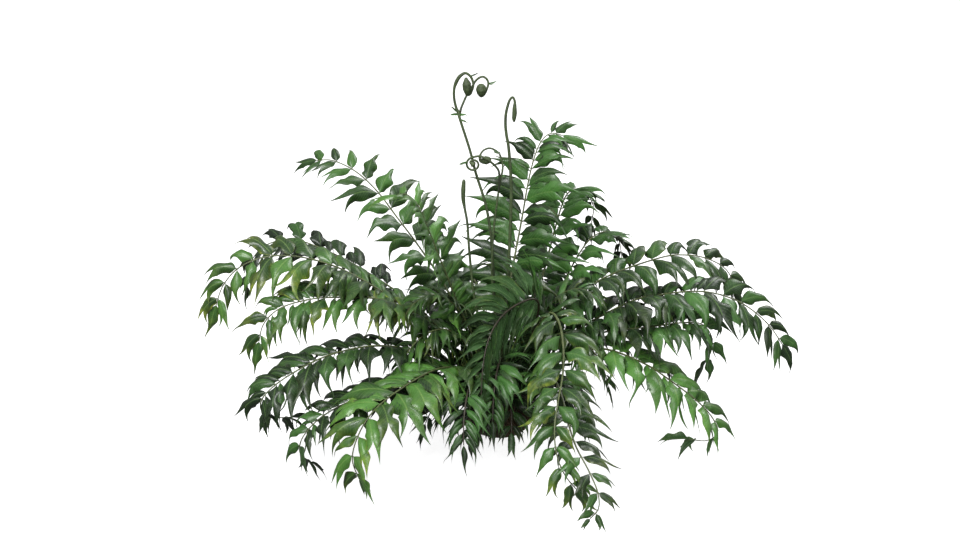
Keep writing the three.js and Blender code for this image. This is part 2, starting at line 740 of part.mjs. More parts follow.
// Where along its route a frond carries its pairs of leaflets, and how long they are
function frondStations(frond, route) {
  const bare = frond.bare ?? BARE_LENGTH;
  const leafy = route.length - bare - END_STALK;
  const pairs = Math.round(leafy / (frond.spacing ?? PAIR_SPACING));
  const stations = [];
  for (let i = 0; i < pairs; i += 1) {
    const u = i / (pairs - 1);
    const distance = bare + leafy * u * (1 + PAIR_CROWDING * (1 - u));
    const swell = mix(frond.early ?? FIRST_SIZE, 1, smooth(u / (frond.early ? LATE_SWELL_END : SWELL_END)));
    const taper = 1 - TIP_TAPER * smooth(2 * u - 1);
    stations.push({ u, distance, length: frond.leaf * swell * taper });
  }
  return stations;
}

// The leaflet on one side of a joint, bent until it is clear of everything placed
function placeLeaflet(frond, station, joints, socket, sideSign, draw, surroundings) {
  const { frame, radius } = joints[1];
  const character = drawCharacter(draw, frond.width);
  for (const [extraDroop, extraSweep, share] of BENDS) {
    const sweep = SWEEP_AT_FOOT + SWEEP_GAIN * station.u + extraSweep;
    const along = frame.side.clone().multiplyScalar(sideSign * Math.cos(sweep))
      .addScaledVector(frame.along, Math.sin(sweep)).addScaledVector(frame.up, LEAF_LIFT).normalize();
    const up = frame.up.clone().addScaledVector(along, -frame.up.dot(along)).normalize();
    const start = frame.point.clone().addScaledVector(frame.side, sideSign * radius);
    const length = station.length * character.stretch * share;
    const line = midrib(start, along, up, length, frond.droop + character.limp + extraDroop,
      character.twist * sideSign);
    const form = bladeForm(line, length, character);
    const grown = bladeForm(line, length, character, LEAF_CLEARANCE);
    if (prongsApart(form) && leavesStem(form, joints, sideSign)
      && surroundings.takes(frond, socket, form, grown)) {
      return form;
    }
  }
  return null;
}

// The leaflet that ends the frond
function placeTerminal(frond, frame, socket, draw, surroundings) {
  const character = drawCharacter(draw, frond.width);
  for (const [extraDroop, , share] of BENDS) {
    const length = frond.leaf * END_LEAF * share;
    const line = midrib(frame.point, frame.along, frame.up, length, frond.droop / 2 + extraDroop,
      character.twist);
    const form = bladeForm(line, length, character);
    if (surroundings.takes(frond, socket, form, bladeForm(line, length, character, LEAF_CLEARANCE))) {
      return form;
    }
  }
  return null;
}

// Corners of the stem at one distance; half opens the two places where leaflets sit
function stemJoint(route, distance, half) {
  const frame = route.at(distance);
  const radius = stemRadius(route, distance);
  return {
    frame,
    radius,
    top: corner(frame, radius, 0, 1),
    under: corner(frame, radius, 0, -1),
    backs: [corner(frame, radius, 1, 0, -half), corner(frame, radius, -1, 0, -half)],
    fronts: [corner(frame, radius, 1, 0, half), corner(frame, radius, -1, 0, half)],
  };
}

// The plain joints up the foot of a stem, one joint for each pair of leaflets, and the plain end
function stemJoints(frond, route, stations) {
  const plain = FOOT_RINGS.map((share) => share * (frond.bare ?? BARE_LENGTH));
  return [
    ...plain.map((distance) => stemJoint(route, distance, 0)),
    ...stations.map(({ u, distance }) => stemJoint(route, distance, mix(STALK_HALF, STALK_HALF_AT_TIP, u))),
    stemJoint(route, route.length, 0),
  ];
}

// Short solids along a stem, one for each stretch between its joints
function addStemToSurroundings(frond, joints, surroundings) {
  for (let k = 1; k < joints.length; k += 1) {
    const pair = [joints[k - 1], joints[k]];
    const stretch = rod(pair.map((joint) => joint.frame), pair.map((joint) => joint.radius), 4);
    surroundings.add(stretch.solid(), frond);
  }
}

// One frond: stem and leaflets in a single closed skin
function frondBody(frond, draw, joints, stations, surroundings) {
  const body = new Body();
  const feet = joints.length - stations.length - 1;
  let ring = null;
  joints.forEach((joint, k) => {
    const top = body.point(joint.top);
    const under = body.point(joint.under);
    const [leftBack, rightBack] = joint.backs.map((vector) => body.point(vector));
    const back = [leftBack, top, rightBack, under];
    if (ring) {
      body.skin(ring, back);
    } else {
      body.closeStart(back);
    }
    ring = back;
    const station = stations[k - feet];
    if (!station) {
      return;
    }
    const [leftFront, rightFront] = joint.fronts.map((vector) => body.point(vector));
    const sides = [[1, [leftBack, top, leftFront, under]], [-1, [rightFront, top, rightBack, under]]];
    for (const [sideSign, socket] of sides) {
      const corners = socket.map((index) => body.points[index]);
      const near = joints.slice(k - 1, k + 2);
      const form = placeLeaflet(frond, station, near, corners, sideSign, draw, surroundings);
      if (form) {
        addBlade(body, socket, form);
      } else {
        body.closeEnd(socket);
      }
    }
    ring = [leftFront, top, rightFront, under];
  });
  const corners = ring.map((index) => body.points[index]);
  const form = placeTerminal(frond, joints[joints.length - 1].frame, corners, draw, surroundings);
  if (form) {
    addBlade(body, ring, form);
  } else {
    body.closeEnd(ring);
  }
  return body;
}

// Stops of a flat spiral that faces the front
function coilStops({ centre, outer, inner, start, turn }) {
  const stops = [];
  const steps = Math.round(Math.abs(turn) / COIL_STEP);
  for (let k = 0; k <= steps; k += 1) {
    const angle = THREE.MathUtils.degToRad(start + (turn * k) / steps);
    const radius = mix(outer, inner, k / steps);
    stops.push([centre[0] + radius * Math.cos(angle), centre[1], centre[2] + radius * Math.sin(angle)]);
  }
  return stops;
}

function radiusAt(radii, share) {
  const place = share * (radii.length - 1);
  const index = Math.min(radii.length - 2, Math.floor(place));
  return mix(radii[index], radii[index + 1], place - index);
}

// Stops through the swollen bud that ends a shoot, in the middle of its coil if it has one
function budStops(shoot, stops) {
  const last = new THREE.Vector3(...stops[stops.length - 1]);
  const ahead = shoot.coil
    ? new THREE.Vector3(...shoot.coil.centre).sub(last)
    : last.clone().sub(new THREE.Vector3(...stops[stops.length - 2])).setLength(shoot.bud);
  const centre = last.clone().add(ahead);
  ahead.setLength(shoot.bud);
  return [-BUD_REACH, 0, BUD_REACH].map((share) => centre.clone().addScaledVector(ahead, share).toArray());
}

function shootSolid(shoot) {
  const stops = shoot.coil ? [...shoot.route, ...coilStops(shoot.coil)] : shoot.route;
  const radii = stops.map((_, k) => radiusAt(shoot.radii, k / (stops.length - 1)));
  if (!shoot.bud) {
    return rod(new Route(stops, SHOOT_STEPS).allFrames(), radii, SHOOT_SIDES).solid();
  }
  const route = new Route([...stops, ...budStops(shoot, stops)], SHOOT_STEPS);
  const swelling = BUD_SWELL.map((share) => share * shoot.bud);
  return rod(route.allFrames(), [...radii, ...swelling], SHOOT_SIDES).solid();
}

// A small leaflet on a curled shoot, rooted inside the shoot
function sprigSolid({ from, to, drop }, draw) {
  const start = new THREE.Vector3(...from);
  const along = new THREE.Vector3(...to).sub(start).normalize();
  const across = along.clone().cross(DOWN).normalize();
  const up = across.clone().cross(along).negate();
  const character = drawCharacter(draw);
  const line = midrib(start, along, up, SPRIG_LENGTH, drop, 0);
  const body = new Body();
  const root = body.ring(bladeRing(line[0], SPRIG_ROOT, 0, 0));
  body.closeStart(root);
  addBlade(body, root, bladeForm(line, SPRIG_LENGTH, character));
  return body.solid();
}

function crosierSolid(crosier, draw) {
  const shoots = crosier.shoots.map(shootSolid);
  const sprigs = crosier.sprigs.map((sprig) => sprigSolid(sprig, draw));
  return [...shoots, ...sprigs].reduce((whole, piece) => whole.add(piece));
}

// The rootstock: a lumpy dome on a flat foot
function crownDome() {
  const body = new Body();
  const rings = CROWN_PROFILE.map(([radius, height]) => {
    const corners = [];
    for (let j = 0; j < CROWN_SIDES; j += 1) {
      const angle = (2 * Math.PI * j) / CROWN_SIDES;
      const lobe = height === 0 ? 0 : CROWN_LOBE * Math.sin(5 * angle + height / 9);
      const reach = radius + lobe;
      corners.push(new THREE.Vector3(reach * Math.cos(angle), reach * Math.sin(angle), height));
    }
    return body.ring(corners);
  });
  body.closeStart(rings[0]);
  for (let k = 1; k < rings.length; k += 1) {
    body.skin(rings[k - 1], rings[k]);
  }
  const top = body.point(new THREE.Vector3(0, 0, CROWN_TOP));
  const rim = rings[rings.length - 1];
  rim.forEach((corner, j) => body.face(corner, rim[(j + 1) % rim.length], top));
  return body.solid();
}

// Cut bases of old stems, which stay on the rootstock between the living ones
function stubSolid(index, draw) {
  const angle = (2 * Math.PI * (index + 0.35 * draw())) / STUB_COUNT;
  const radius = mix(44, 58, draw());
  const length = mix(22, 34, draw());
  const outward = new THREE.Vector3(Math.cos(angle), Math.sin(angle), 0);
  const from = outward.clone().multiplyScalar(radius - 12).setZ(46);
  const tip = outward.clone().multiplyScalar(radius + length * 0.7).setZ(64 + length * 0.5);
  const route = new Route([from.toArray(), from.clone().lerp(tip, 0.5).toArray(), tip.toArray()], 1);
  const frames = [route.at(0), route.at(route.length)];
  return rod(frames, [STUB_RADIUS * 1.3, STUB_RADIUS * 0.7], 4).solid();
}

// Wiry root ends that run out over the ground from the foot
function groundRootSolid(index, draw) {
  const angle = (2 * Math.PI * (index + 0.6 * draw())) / ROOT_COUNT;
  const bend = (draw() - 0.5) * 0.5;
  const reach = ROOT_REACH * mix(0.78, 1, draw());
  const stops = [[0.42, 12], [0.66, 7], [0.84, 3.6], [1, 2.2]].map(([share, height]) => {
    const turned = angle + bend * share * share;
    return [reach * share * Math.cos(turned), reach * share * Math.sin(turned), height];
  });
  const route = new Route(stops, 1);
  const frames = route.allFrames();
  const radii = frames.map((_, k) => mix(ROOT_RADIUS, ROOT_RADIUS * 0.35, k / (frames.length - 1)));
  return rod(frames, radii, 3).solid();
}

// Plain hole in the rootstock round the foot of a stem
function socketSolid(route, radius) {
  const foot = route.at(0);
  foot.point.addScaledVector(foot.along, -SOCKET_GAP);
  const frames = [foot, route.at(SOCKET_REACH)];
  const wide = radius + SOCKET_GAP * Math.SQRT2;
  return rod(frames, [wide, wide], 4).solid();
}

function largestPiece(solid) {
  const pieces = solid.decompose();
  return pieces.reduce((best, piece) => (piece.volume() > best.volume() ? piece : best));
}

function crownSolid(frondRoutes, crosierRoutes) {
  const draw = seededDraws(CROWN_SEED);
  let whole = crownDome();
  for (let k = 0; k < STUB_COUNT; k += 1) {
    whole = whole.add(stubSolid(k, draw));
  }
  for (let k = 0; k < ROOT_COUNT; k += 1) {
    whole = whole.add(groundRootSolid(k, draw));
  }
  for (const route of frondRoutes) {
    whole = whole.subtract(socketSolid(route, STEM_RADIUS));
  }
  for (const route of crosierRoutes) {
    whole = whole.subtract(socketSolid(route, CROSIER_SOCKET_RADIUS));
  }
  return largestPiece(whole);
}

const clump = new THREE.Group();

function addPiece(name, geometry, color, roughness) {
  const material = new THREE.MeshStandardMaterial({ color, roughness, metalness: 0, flatShading: true });
  const mesh = new THREE.Mesh(geometry, material);
  mesh.name = name;
  clump.add(mesh);
}

const frondRoutes = FRONDS.map((frond) => new Route(frond.route, STEM_STEPS, frond.roll ?? 0));
const stationLists = FRONDS.map((frond, index) => frondStations(frond, frondRoutes[index]));
const crosierRoutes = CROSIERS.map((crosier) => new Route(crosier.shoots[0].route, SHOOT_STEPS));
const surroundings = new Surroundings();

const crown = crownSolid(frondRoutes, crosierRoutes);
surroundings.add(crown, 'crown');
addPiece('crown', solidGeometry(crown), '#2b241a', 0.9);

for (const crosier of CROSIERS) {
  const solid = crosierSolid(crosier, seededDraws(CROSIER_SEED));
  surroundings.add(solid, crosier);
  addPiece(crosier.name, solidGeometry(solid), '#4c5b2c', 0.6);
}

const frondName = (index) => `frond_${String(index + 1).padStart(2, '0')}`;
const jointLists = FRONDS.map((frond, index) => stemJoints(frond, frondRoutes[index], stationLists[index]));
FRONDS.forEach((frond, index) => addStemToSurroundings(frond, jointLists[index], surroundings));
const frondBodies = FRONDS.map((frond, index) => {
  const draw = seededDraws(DRAW_SEED + DRAW_SEED_STEP * index);
  return frondBody(frond, draw, jointLists[index], stationLists[index], surroundings);
});
FRONDS.forEach((frond, index) => {
  const joined = frondBodies.filter((_, other) => FRONDS[other].joins === frondName(index));
  if (joined.length > 0) {
    const whole = joined.reduce((solid, body) => solid.add(body.solid()), frondBodies[index].solid());
    addPiece(frondName(index), solidGeometry(whole), frond.tint, 0.45);
  } else if (!frond.joins) {
    addPiece(frondName(index), frondBodies[index].geometry(), frond.tint, 0.45);
  }
});

export default clump;
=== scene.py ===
# %% [markdown]
# A clump of fern with forked leaflets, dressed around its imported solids.
# The real plant is a knot of dark roots and old stems that throws out some thirty fronds. Each frond
# is a thin stem with glossy leaflets in pairs, and most leaflets split into two long tips.
# The solids already say where every stem runs and where every leaflet hangs. This lesson grows the
# same stems and leaflets again with many more faces, so that they bend smoothly and carry veins.

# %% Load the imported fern
import json
import math

import bpy
import numpy as np
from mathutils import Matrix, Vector, noise


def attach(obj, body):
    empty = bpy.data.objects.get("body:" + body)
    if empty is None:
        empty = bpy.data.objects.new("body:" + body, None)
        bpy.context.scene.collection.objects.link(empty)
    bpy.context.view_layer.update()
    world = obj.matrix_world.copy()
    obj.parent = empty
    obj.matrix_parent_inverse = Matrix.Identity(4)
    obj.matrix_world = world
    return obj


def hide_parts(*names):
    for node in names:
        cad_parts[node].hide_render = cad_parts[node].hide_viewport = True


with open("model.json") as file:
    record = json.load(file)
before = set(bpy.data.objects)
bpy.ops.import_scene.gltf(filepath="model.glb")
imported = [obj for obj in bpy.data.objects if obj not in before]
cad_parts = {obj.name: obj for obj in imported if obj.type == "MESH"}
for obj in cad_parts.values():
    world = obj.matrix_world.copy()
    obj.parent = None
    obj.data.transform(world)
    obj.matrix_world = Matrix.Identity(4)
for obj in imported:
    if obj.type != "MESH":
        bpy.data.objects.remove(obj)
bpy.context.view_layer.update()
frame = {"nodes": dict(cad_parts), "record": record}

MM = 0.001
slot_of = {part["node"]: part["material_slot"] for part in frame["record"]["subparts"]}

# %% [markdown]
# The camera comes first, because it says how large a leaflet is in the picture. The photograph looks
# down on the clump by about twenty degrees from a few metres away, which keeps the far fronds nearly
# as large as the near ones. A long lens from four metres gives the same flat view.

# %% Place the camera
CAMERA_AIM = Vector((-0.0406, 0, 0.352))
CAMERA_DISTANCE = 4.0
CAMERA_RISE = math.radians(20)
LENS_LENGTH, FILM_WIDTH = 74, 36


def add_thing(name, data):
    thing = bpy.data.objects.new(name, data)
    bpy.context.scene.collection.objects.link(thing)
    return thing


def place_camera():
    lens = bpy.data.cameras.new("studio_lens")
    lens.lens = LENS_LENGTH
    lens.sensor_width = FILM_WIDTH
    camera = add_thing("studio_camera", lens)
    back = Vector((0, -math.cos(CAMERA_RISE), math.sin(CAMERA_RISE)))
    camera.location = CAMERA_AIM + back * CAMERA_DISTANCE
    camera.rotation_euler = (-back).to_track_quat("-Z", "Y").to_euler()
    bpy.context.scene.camera = camera
    return camera


print("camera at", tuple(place_camera().location))

# %% [markdown]
# A fern never repeats itself, but it has to grow the same way each time the script runs. The solids
# drew their small differences from a simple seeded counter, so the same counter is used here, and a
# leaflet gets the same twist, wave and fork as its solid.

# %% Seeded draws and small sums
DRAW_FACTOR, DRAW_RANGE = 16807, 2147483647


def seeded_draws(seed):
    """A function that gives the next number between 0 and 1 at each call."""
    state = seed

    def draw():
        nonlocal state
        state = (state * DRAW_FACTOR) % DRAW_RANGE
        return state / DRAW_RANGE
    return draw


def smooth(values):
    """Eases from 0 to 1 as the values go from 0 to 1, and stays level beyond them."""
    x = np.clip(values, 0, 1)
    return x * x * (3 - 2 * x)


def mix(a, b, share):
    return a + (b - a) * share


def unit(vectors):
    return vectors / np.linalg.norm(vectors, axis=-1, keepdims=True)


def square_to(vectors, ahead):
    """The part of each vector that stands square to the way ahead, as a unit vector."""
    return unit(vectors - ahead * np.sum(vectors * ahead, axis=-1, keepdims=True))


def turned(vectors, axis, angle):
    """Vectors that are square to the axis, turned about it."""
    return vectors * math.cos(angle) + np.cross(axis, vectors) * math.sin(angle)


SOLID_SEEDS, SMALL_SEEDS, MANNER_SEEDS = (1200, 77), (9000, 53), (5000, 31)
SCALE_SEED, SPRIG_SEED, SPRIG_MANNER_SEED, SHOOT_SCALE_SEED = 7331, 905, 8811, 6173


def frond_draws(seeds, index):
    return seeded_draws(seeds[0] + seeds[1] * index)


first = frond_draws(SOLID_SEEDS, 0)
print("first draws", [round(first(), 3) for _ in range(3)])

# %% [markdown]
# Each frond follows a route, given base first in millimetres. A row holds the length of the longest
# leaflets, how far gravity turns them in radians, how far the outer half rolls about the stem in
# degrees, and then what only some fronds have: narrow leaflets, closer pairs, a short bare foot, small
# first leaflets, or another frond that shares its foot and its solid.

# %% The fronds
SKIRT_HABIT = {"width": 0.28, "spacing": 25, "bare": 40}
FRONDS = {
    "frond_01": (122, 2.1, -65, {}, [
        (-39, -1, 68), (-112, -3, 185), (-190, -5, 270), (-305, -10, 350), (-395, -12, 383),
        (-470, -15, 386), (-526, -18, 364), (-560, -20, 326), (-576, -20, 284)]),
    "frond_02": (128, 1.8, 0, {}, [
        (-25, -31, 66), (-54, -68, 140), (-94, -120, 188), (-140, -178, 203), (-203, -256, 194),
        (-246, -306, 174), (-272, -336, 140), (-284, -350, 96), (-272, -346, 52)]),
    "frond_03": (122, 2.1, 60, {}, [
        (41, 0, 68), (92, 0, 148), (150, 0, 215), (265, 0, 283), (335, 0, 300), (394, 0, 306),
        (440, 0, 301), (486, 0, 284), (524, 0, 258), (556, 0, 226), (580, 0, 190)]),
    "frond_04": (104, 1.6, 0, {"early": 0.6}, [
        (10, -38, 68), (42, -60, 180), (74, -84, 262), (100, -116, 304), (116, -170, 298),
        (121, -230, 266), (117, -282, 236), (107, -330, 204), (100, -366, 168), (103, -392, 128),
        (118, -408, 92), (140, -408, 62)]),
    "frond_05": (112, 1.2, -30, {}, [
        (-22, 17, 72), (-64, 50, 190), (-112, 84, 284), (-166, 120, 358), (-212, 150, 412),
        (-256, 180, 462), (-302, 210, 496), (-352, 240, 511), (-388, 262, 504)]),
    "frond_06": (122, 1.2, 0, {}, [
        (4, 17, 76), (8, 30, 180), (17, 50, 280), (32, 75, 360), (47, 100, 436), (58, 122, 496),
        (71, 142, 546), (86, 157, 578), (106, 166, 592), (130, 170, 586)]),
    "frond_07": (120, 1.9, 0, {}, [
        (36, -16, 68), (74, -31, 136), (124, -50, 186), (203, -82, 214), (284, -115, 197),
        (338, -136, 168), (394, -158, 130), (424, -171, 98), (433, -176, 70), (412, -168, 50),
        (378, -156, 48)]),
    "frond_08": (120, 2.0, -50, {}, [
        (-37, -9, 67), (-80, -18, 160), (-128, -28, 235), (-225, -48, 303), (-337, -72, 320),
        (-400, -85, 316), (-444, -95, 302), (-472, -102, 274), (-482, -104, 238)]),
    "frond_09": (116, 2.0, 45, {}, [
        (37, 10, 70), (78, 20, 165), (126, 32, 250), (184, 46, 298), (243, 61, 326),
        (337, 84, 350), (385, 94, 351), (428, 106, 340), (468, 117, 316), (489, 123, 284),
        (494, 125, 246)]),
    "frond_10": (110, 1.3, 0, {}, [
        (-19, 3, 74), (-40, 10, 150), (-72, 18, 228), (-104, 28, 318), (-128, 36, 380),
        (-147, 44, 428), (-166, 52, 472), (-188, 58, 494), (-210, 62, 492)]),
    "frond_11": (84, 1.4, 0, {}, [
        (23, -33, 67), (50, -72, 138), (78, -118, 180), (104, -176, 190), (120, -240, 172),
        (130, -304, 146), (142, -362, 126), (162, -412, 104), (178, -446, 76), (180, -464, 50),
        (164, -472, 32)]),
    "frond_12": (112, 1.9, -35, {}, [
        (-36, -17, 66), (-82, -36, 142), (-138, -59, 190), (-239, -102, 228), (-336, -143, 226),
        (-414, -176, 197), (-462, -196, 164), (-473, -200, 134), (-452, -192, 112),
        (-418, -178, 106)]),
    "frond_13": (104, 1.7, 0, {}, [
        (-31, -25, 64), (-66, -50, 116), (-112, -84, 146), (-190, -140, 162), (-274, -200, 160),
        (-342, -250, 144), (-382, -278, 112), (-390, -284, 78), (-370, -270, 52)]),
    "frond_14": (104, 1.7, -40, {"spacing": 42}, [
        (-36, 8, 69), (-84, 22, 158), (-136, 37, 222), (-188, 52, 268), (-306, 84, 337),
        (-402, 110, 373), (-448, 122, 375), (-495, 134, 354), (-524, 142, 314), (-534, 146, 268)]),
    "frond_15": (95, 1.4, 0, {}, [
        (26, 22, 72), (62, 52, 150), (105, 88, 226), (152, 128, 314), (190, 160, 362),
        (226, 190, 369), (254, 214, 344), (263, 222, 300)]),
    "frond_16": (95, 1.3, 0, {}, [
        (11, 25, 74), (34, 52, 160), (62, 88, 232), (92, 132, 296), (118, 190, 376),
        (140, 240, 428), (164, 272, 438), (190, 300, 418), (206, 320, 382), (203, 326, 344)]),
    "frond_17": (108, 1.8, 40, {}, [
        (30, -7, 70), (76, -13, 130), (124, -22, 184), (203, -34, 228), (300, -46, 246),
        (362, -54, 258), (404, -58, 258), (426, -60, 234), (428, -60, 200), (414, -58, 168)]),
    "frond_18": (118, 1.9, 0, {"width": 0.15, "spacing": 25}, [
        (16, -12, 74), (42, -14, 150), (66, -20, 226), (78, -38, 288), (64, -76, 318),
        (30, -116, 320), (2, -146, 308), (-18, -174, 286), (-30, -198, 256), (-36, -218, 218),
        (-38, -232, 178)]),
    "frond_19": (104, 1.8, 0, {"width": 0.2, "spacing": 28}, [
        (-7, -40, 67), (-22, -78, 140), (-38, -128, 180), (-54, -186, 194), (-66, -240, 178),
        (-72, -280, 142), (-72, -300, 102)]),
    "frond_20": (100, 1.6, 0, {"spacing": 45}, [
        (-8, 38, 68), (-22, 96, 168), (-40, 170, 232), (-58, 250, 248), (-72, 322, 226),
        (-80, 376, 176), (-83, 402, 116)]),
    "frond_21": (100, 1.6, 0, {"spacing": 45}, [
        (6, 40, 68), (26, 102, 172), (48, 178, 238), (72, 262, 250), (92, 336, 222),
        (104, 388, 168), (108, 412, 108)]),
    "frond_22": (92, 2, 0, SKIRT_HABIT, [
        (2, -56, 54), (8, -74, 100), (14, -102, 130), (20, -136, 134), (22, -168, 112),
        (22, -190, 78)]),
    "frond_23": (92, 2, 0, SKIRT_HABIT, [
        (-40, -40, 54), (-58, -56, 100), (-82, -80, 126), (-110, -106, 128), (-134, -128, 106),
        (-150, -142, 76)]),
    "frond_24": (92, 2, 0, SKIRT_HABIT, [
        (50, -30, 54), (66, -46, 100), (92, -66, 126), (120, -86, 128), (146, -106, 106),
        (162, -118, 76)]),
    "frond_25": (88, 2, 0, SKIRT_HABIT, [
        (-20, -52, 54), (-26, -72, 98), (-34, -98, 120), (-44, -130, 118), (-52, -158, 96),
        (-56, -176, 66)]),
    "frond_26": (88, 1.7, 0, {"joins": "frond_02", "width": 0.25, "spacing": 26, "bare": 70}, [
        (-25, -31, 66), (-46, -38, 150), (-76, -54, 222), (-116, -78, 254), (-158, -102, 246),
        (-190, -120, 212), (-206, -130, 170)]),
    "frond_27": (88, 1.7, 0, {"joins": "frond_07", "width": 0.25, "spacing": 26, "bare": 70}, [
        (36, -16, 68), (56, -34, 150), (86, -54, 218), (128, -78, 244), (172, -104, 232),
        (202, -122, 196), (216, -130, 154)]),
    "frond_28": (92, 1.6, 0, {"joins": "frond_19", "width": 0.24, "spacing": 25, "bare": 60}, [
        (-7, -40, 67), (0, -56, 130), (4, -84, 184), (0, -126, 210), (-8, -170, 196),
        (-14, -204, 160), (-16, -222, 118)]),
    "frond_29": (88, 1.4, 0, {"joins": "frond_10", "width": 0.25, "spacing": 27, "bare": 90}, [
        (-19, 3, 74), (-34, -8, 150), (-58, -18, 226), (-92, -34, 290), (-134, -52, 318),
        (-172, -68, 306), (-196, -78, 272)]),
    "frond_30": (88, 1.4, 0, {"joins": "frond_15", "width": 0.25, "spacing": 27, "bare": 90}, [
        (26, 22, 72), (46, 18, 150), (78, 16, 228), (116, 14, 286), (156, 10, 308), (192, 4, 296),
        (214, 0, 262)]),
}
print("fronds", len(FRONDS))

# %% [markdown]
# A stem is a smooth curve through its stops. A Blender curve would do for the tube alone, but the
# leaflets need to know which way is up and sideways at every point of it. So the route is stepped
# through by hand, and a small frame of three directions is carried along without turning about the
# stem, except where a frond is told to roll.

# %% A route with a frame carried along it
LEAN_STEP = 40


def curve(here, there, start_pull, end_pull, t):
    """A point between two others, on the smooth curve that has these pulls at its ends."""
    return (here * (2 * t**3 - 3 * t**2 + 1) + start_pull * (t**3 - 2 * t**2 + t)
            + there * (3 * t**2 - 2 * t**3) + end_pull * (t**3 - t**2))


class Route:
    """Points along a curve, each with its ways along and sideways."""

    def __init__(self, stops, steps, roll=0.0):
        stops = np.array(stops, float)
        last = len(stops) - 1
        points = []
        for span in range(last):
            here, there = stops[span], stops[span + 1]
            start_pull = (there - stops[max(0, span - 1)]) * 0.5
            end_pull = (stops[min(last, span + 2)] - here) * 0.5
            points += [curve(here, there, start_pull, end_pull, k / steps) for k in range(steps)]
        points.append(stops[last])
        self.points = np.array(points)
        gaps = np.linalg.norm(np.diff(self.points, axis=0), axis=1)
        self.distances = np.concatenate([[0.0], np.cumsum(gaps)])
        self.length = self.distances[-1]
        self.carry_frame(math.radians(roll))

    def carry_frame(self, roll):
        last = len(self.points) - 1
        lean = self.points[min(last, LEAN_STEP)] - self.points[0]
        side = unit(np.array([-lean[1], lean[0], 0.0]))
        self.alongs, self.sides = [], []
        for k in range(last + 1):
            along = unit(self.points[min(last, k + 1)] - self.points[max(0, k - 1)])
            side = square_to(side, along)
            angle = roll * smooth(2 * self.distances[k] / self.length - 1)
            self.alongs.append(along)
            self.sides.append(turned(side, along, angle))

    def at(self, distance):
        """Point, way along, side and up at a distance from the base."""
        last = len(self.points) - 1
        k = int(np.searchsorted(self.distances, distance))
        k = min(last, max(1, k))
        share = (distance - self.distances[k - 1]) / (self.distances[k] - self.distances[k - 1])
        point = mix(self.points[k - 1], self.points[k], share)
        along = unit(mix(self.alongs[k - 1], self.alongs[k], share))
        side = square_to(mix(self.sides[k - 1], self.sides[k], share), along)
        return point, along, side, np.cross(along, side)


STEM_STEPS = 16
STEM_RADII = 4.2, 1.3
routes = {name: Route(row[4], STEM_STEPS, row[2]) for name, row in FRONDS.items()}


def stem_radius(name, distance):
    return mix(*STEM_RADII, distance / routes[name].length)


print("longest stem", round(max(route.length for route in routes.values())), "mm")

# %% [markdown]
# The midrib of a leaflet leaves the stem sideways and a little upwards, and then its own weight turns
# it down, more with every step. Thirteen spots are enough to know its line. Where a leaflet would
# have touched another, its solid was bent or shortened by one of twenty-five choices. All the choices
# are worked out at once here. The solid has corners beside one or two of the spots and at the tips,
# so the choice whose own points lie on such corners is the one that grew.

# %% Midribs, as the solids have them
LINE_STEPS = 12
BENDS = np.array([
    (0, 0, 1), (0.3, 0, 1), (-0.3, 0, 1), (0, 0.2, 1), (0, -0.2, 1), (0.6, 0, 1), (-0.6, 0, 1),
    (0, -0.4, 0.92), (0.4, 0.2, 0.86), (-0.4, 0.2, 0.86), (-0.5, -0.4, 0.84), (0, 0, 0.8),
    (0.9, 0, 0.8), (-0.9, 0, 0.8), (-0.8, -0.5, 0.76), (0, 0.3, 0.72), (0.6, 0, 0.66),
    (-0.6, 0, 0.66), (0, 0, 0.58), (1, 0, 0.52), (-1, 0, 0.52), (-1, -0.5, 0.5), (0, 0, 0.42),
    (0, 0.3, 0.34), (-0.8, -0.3, 0.3)])
DOWN = np.array([0.0, 0.0, -1.0])
LEAF_THICKNESS = 1.4
SMALL_LEAF = 90
FIRST_RING, SECOND_RING, ONLY_RING = 3, 7, 5
FARTHEST_MISS = 0.25


def draw_character(draw, width):
    return {
        "width": width,
        "forked": draw() < 0.6,
        "twist": (draw() - 0.5) * 1.3,
        "stretch": 0.9 + 0.2 * draw(),
        "limp": (draw() - 0.5) * 0.8,
        "spread": 0.65 + 0.3 * draw(),
        "shorter": 0.8 + 0.15 * draw(),
        "waves": [(draw() - 0.5) * 0.3 for _ in range(4)],
    }


def midribs(start, along, up, length, droop, twist):
    """Spots of many midribs at once: arrays of points, ways along and ups, one row a choice."""
    point = np.repeat(start[None], len(length), axis=0)
    ahead, normal = along.copy(), up.copy()
    points, alongs, ups = [], [], []
    for k in range(LINE_STEPS + 1):
        points.append(point)
        alongs.append(ahead)
        ups.append(normal)
        point = point + ahead * (length / LINE_STEPS)[:, None]
        pull = DOWN - ahead * (ahead @ DOWN)[:, None]
        weight = 0.5 + 1.2 * k / LINE_STEPS
        ahead = unit(ahead + pull * (droop * weight / LINE_STEPS)[:, None])
        normal = turned(square_to(normal, ahead), ahead, twist / LINE_STEPS)
    return np.stack(points, 1), np.stack(alongs, 1), np.stack(ups, 1)


def grown_choice(lines, lengths, character, solid_points):
    """Number of the choice whose points are corners of the solid, or None."""
    points, alongs, ups = lines
    rows = np.arange(len(lengths))
    ring = np.where(lengths < SMALL_LEAF, ONLY_RING, SECOND_RING)
    top = points[rows, ring] + ups[rows, ring] * (LEAF_THICKNESS / 2)
    tip = points[:, -1].copy()
    if character["forked"]:
        half = character["spread"] * character["width"] * lengths / 2
        tip += np.cross(ups[:, -1], alongs[:, -1]) * half[:, None]
    miss = np.zeros(len(lengths))
    for spots in (top, tip):
        apart = np.linalg.norm(spots[:, None] - solid_points[None], axis=2).min(axis=1)
        miss = np.maximum(miss, apart)
    best = int(np.argmin(miss))
    return best if miss[best] < FARTHEST_MISS else None


print("choices", len(BENDS))

# %% [markdown]
# Every frond carries its pairs at stations along the stem. The leaflets swell over the first fifth of
# the frond and shrink again over its outer half, and one more ends it.

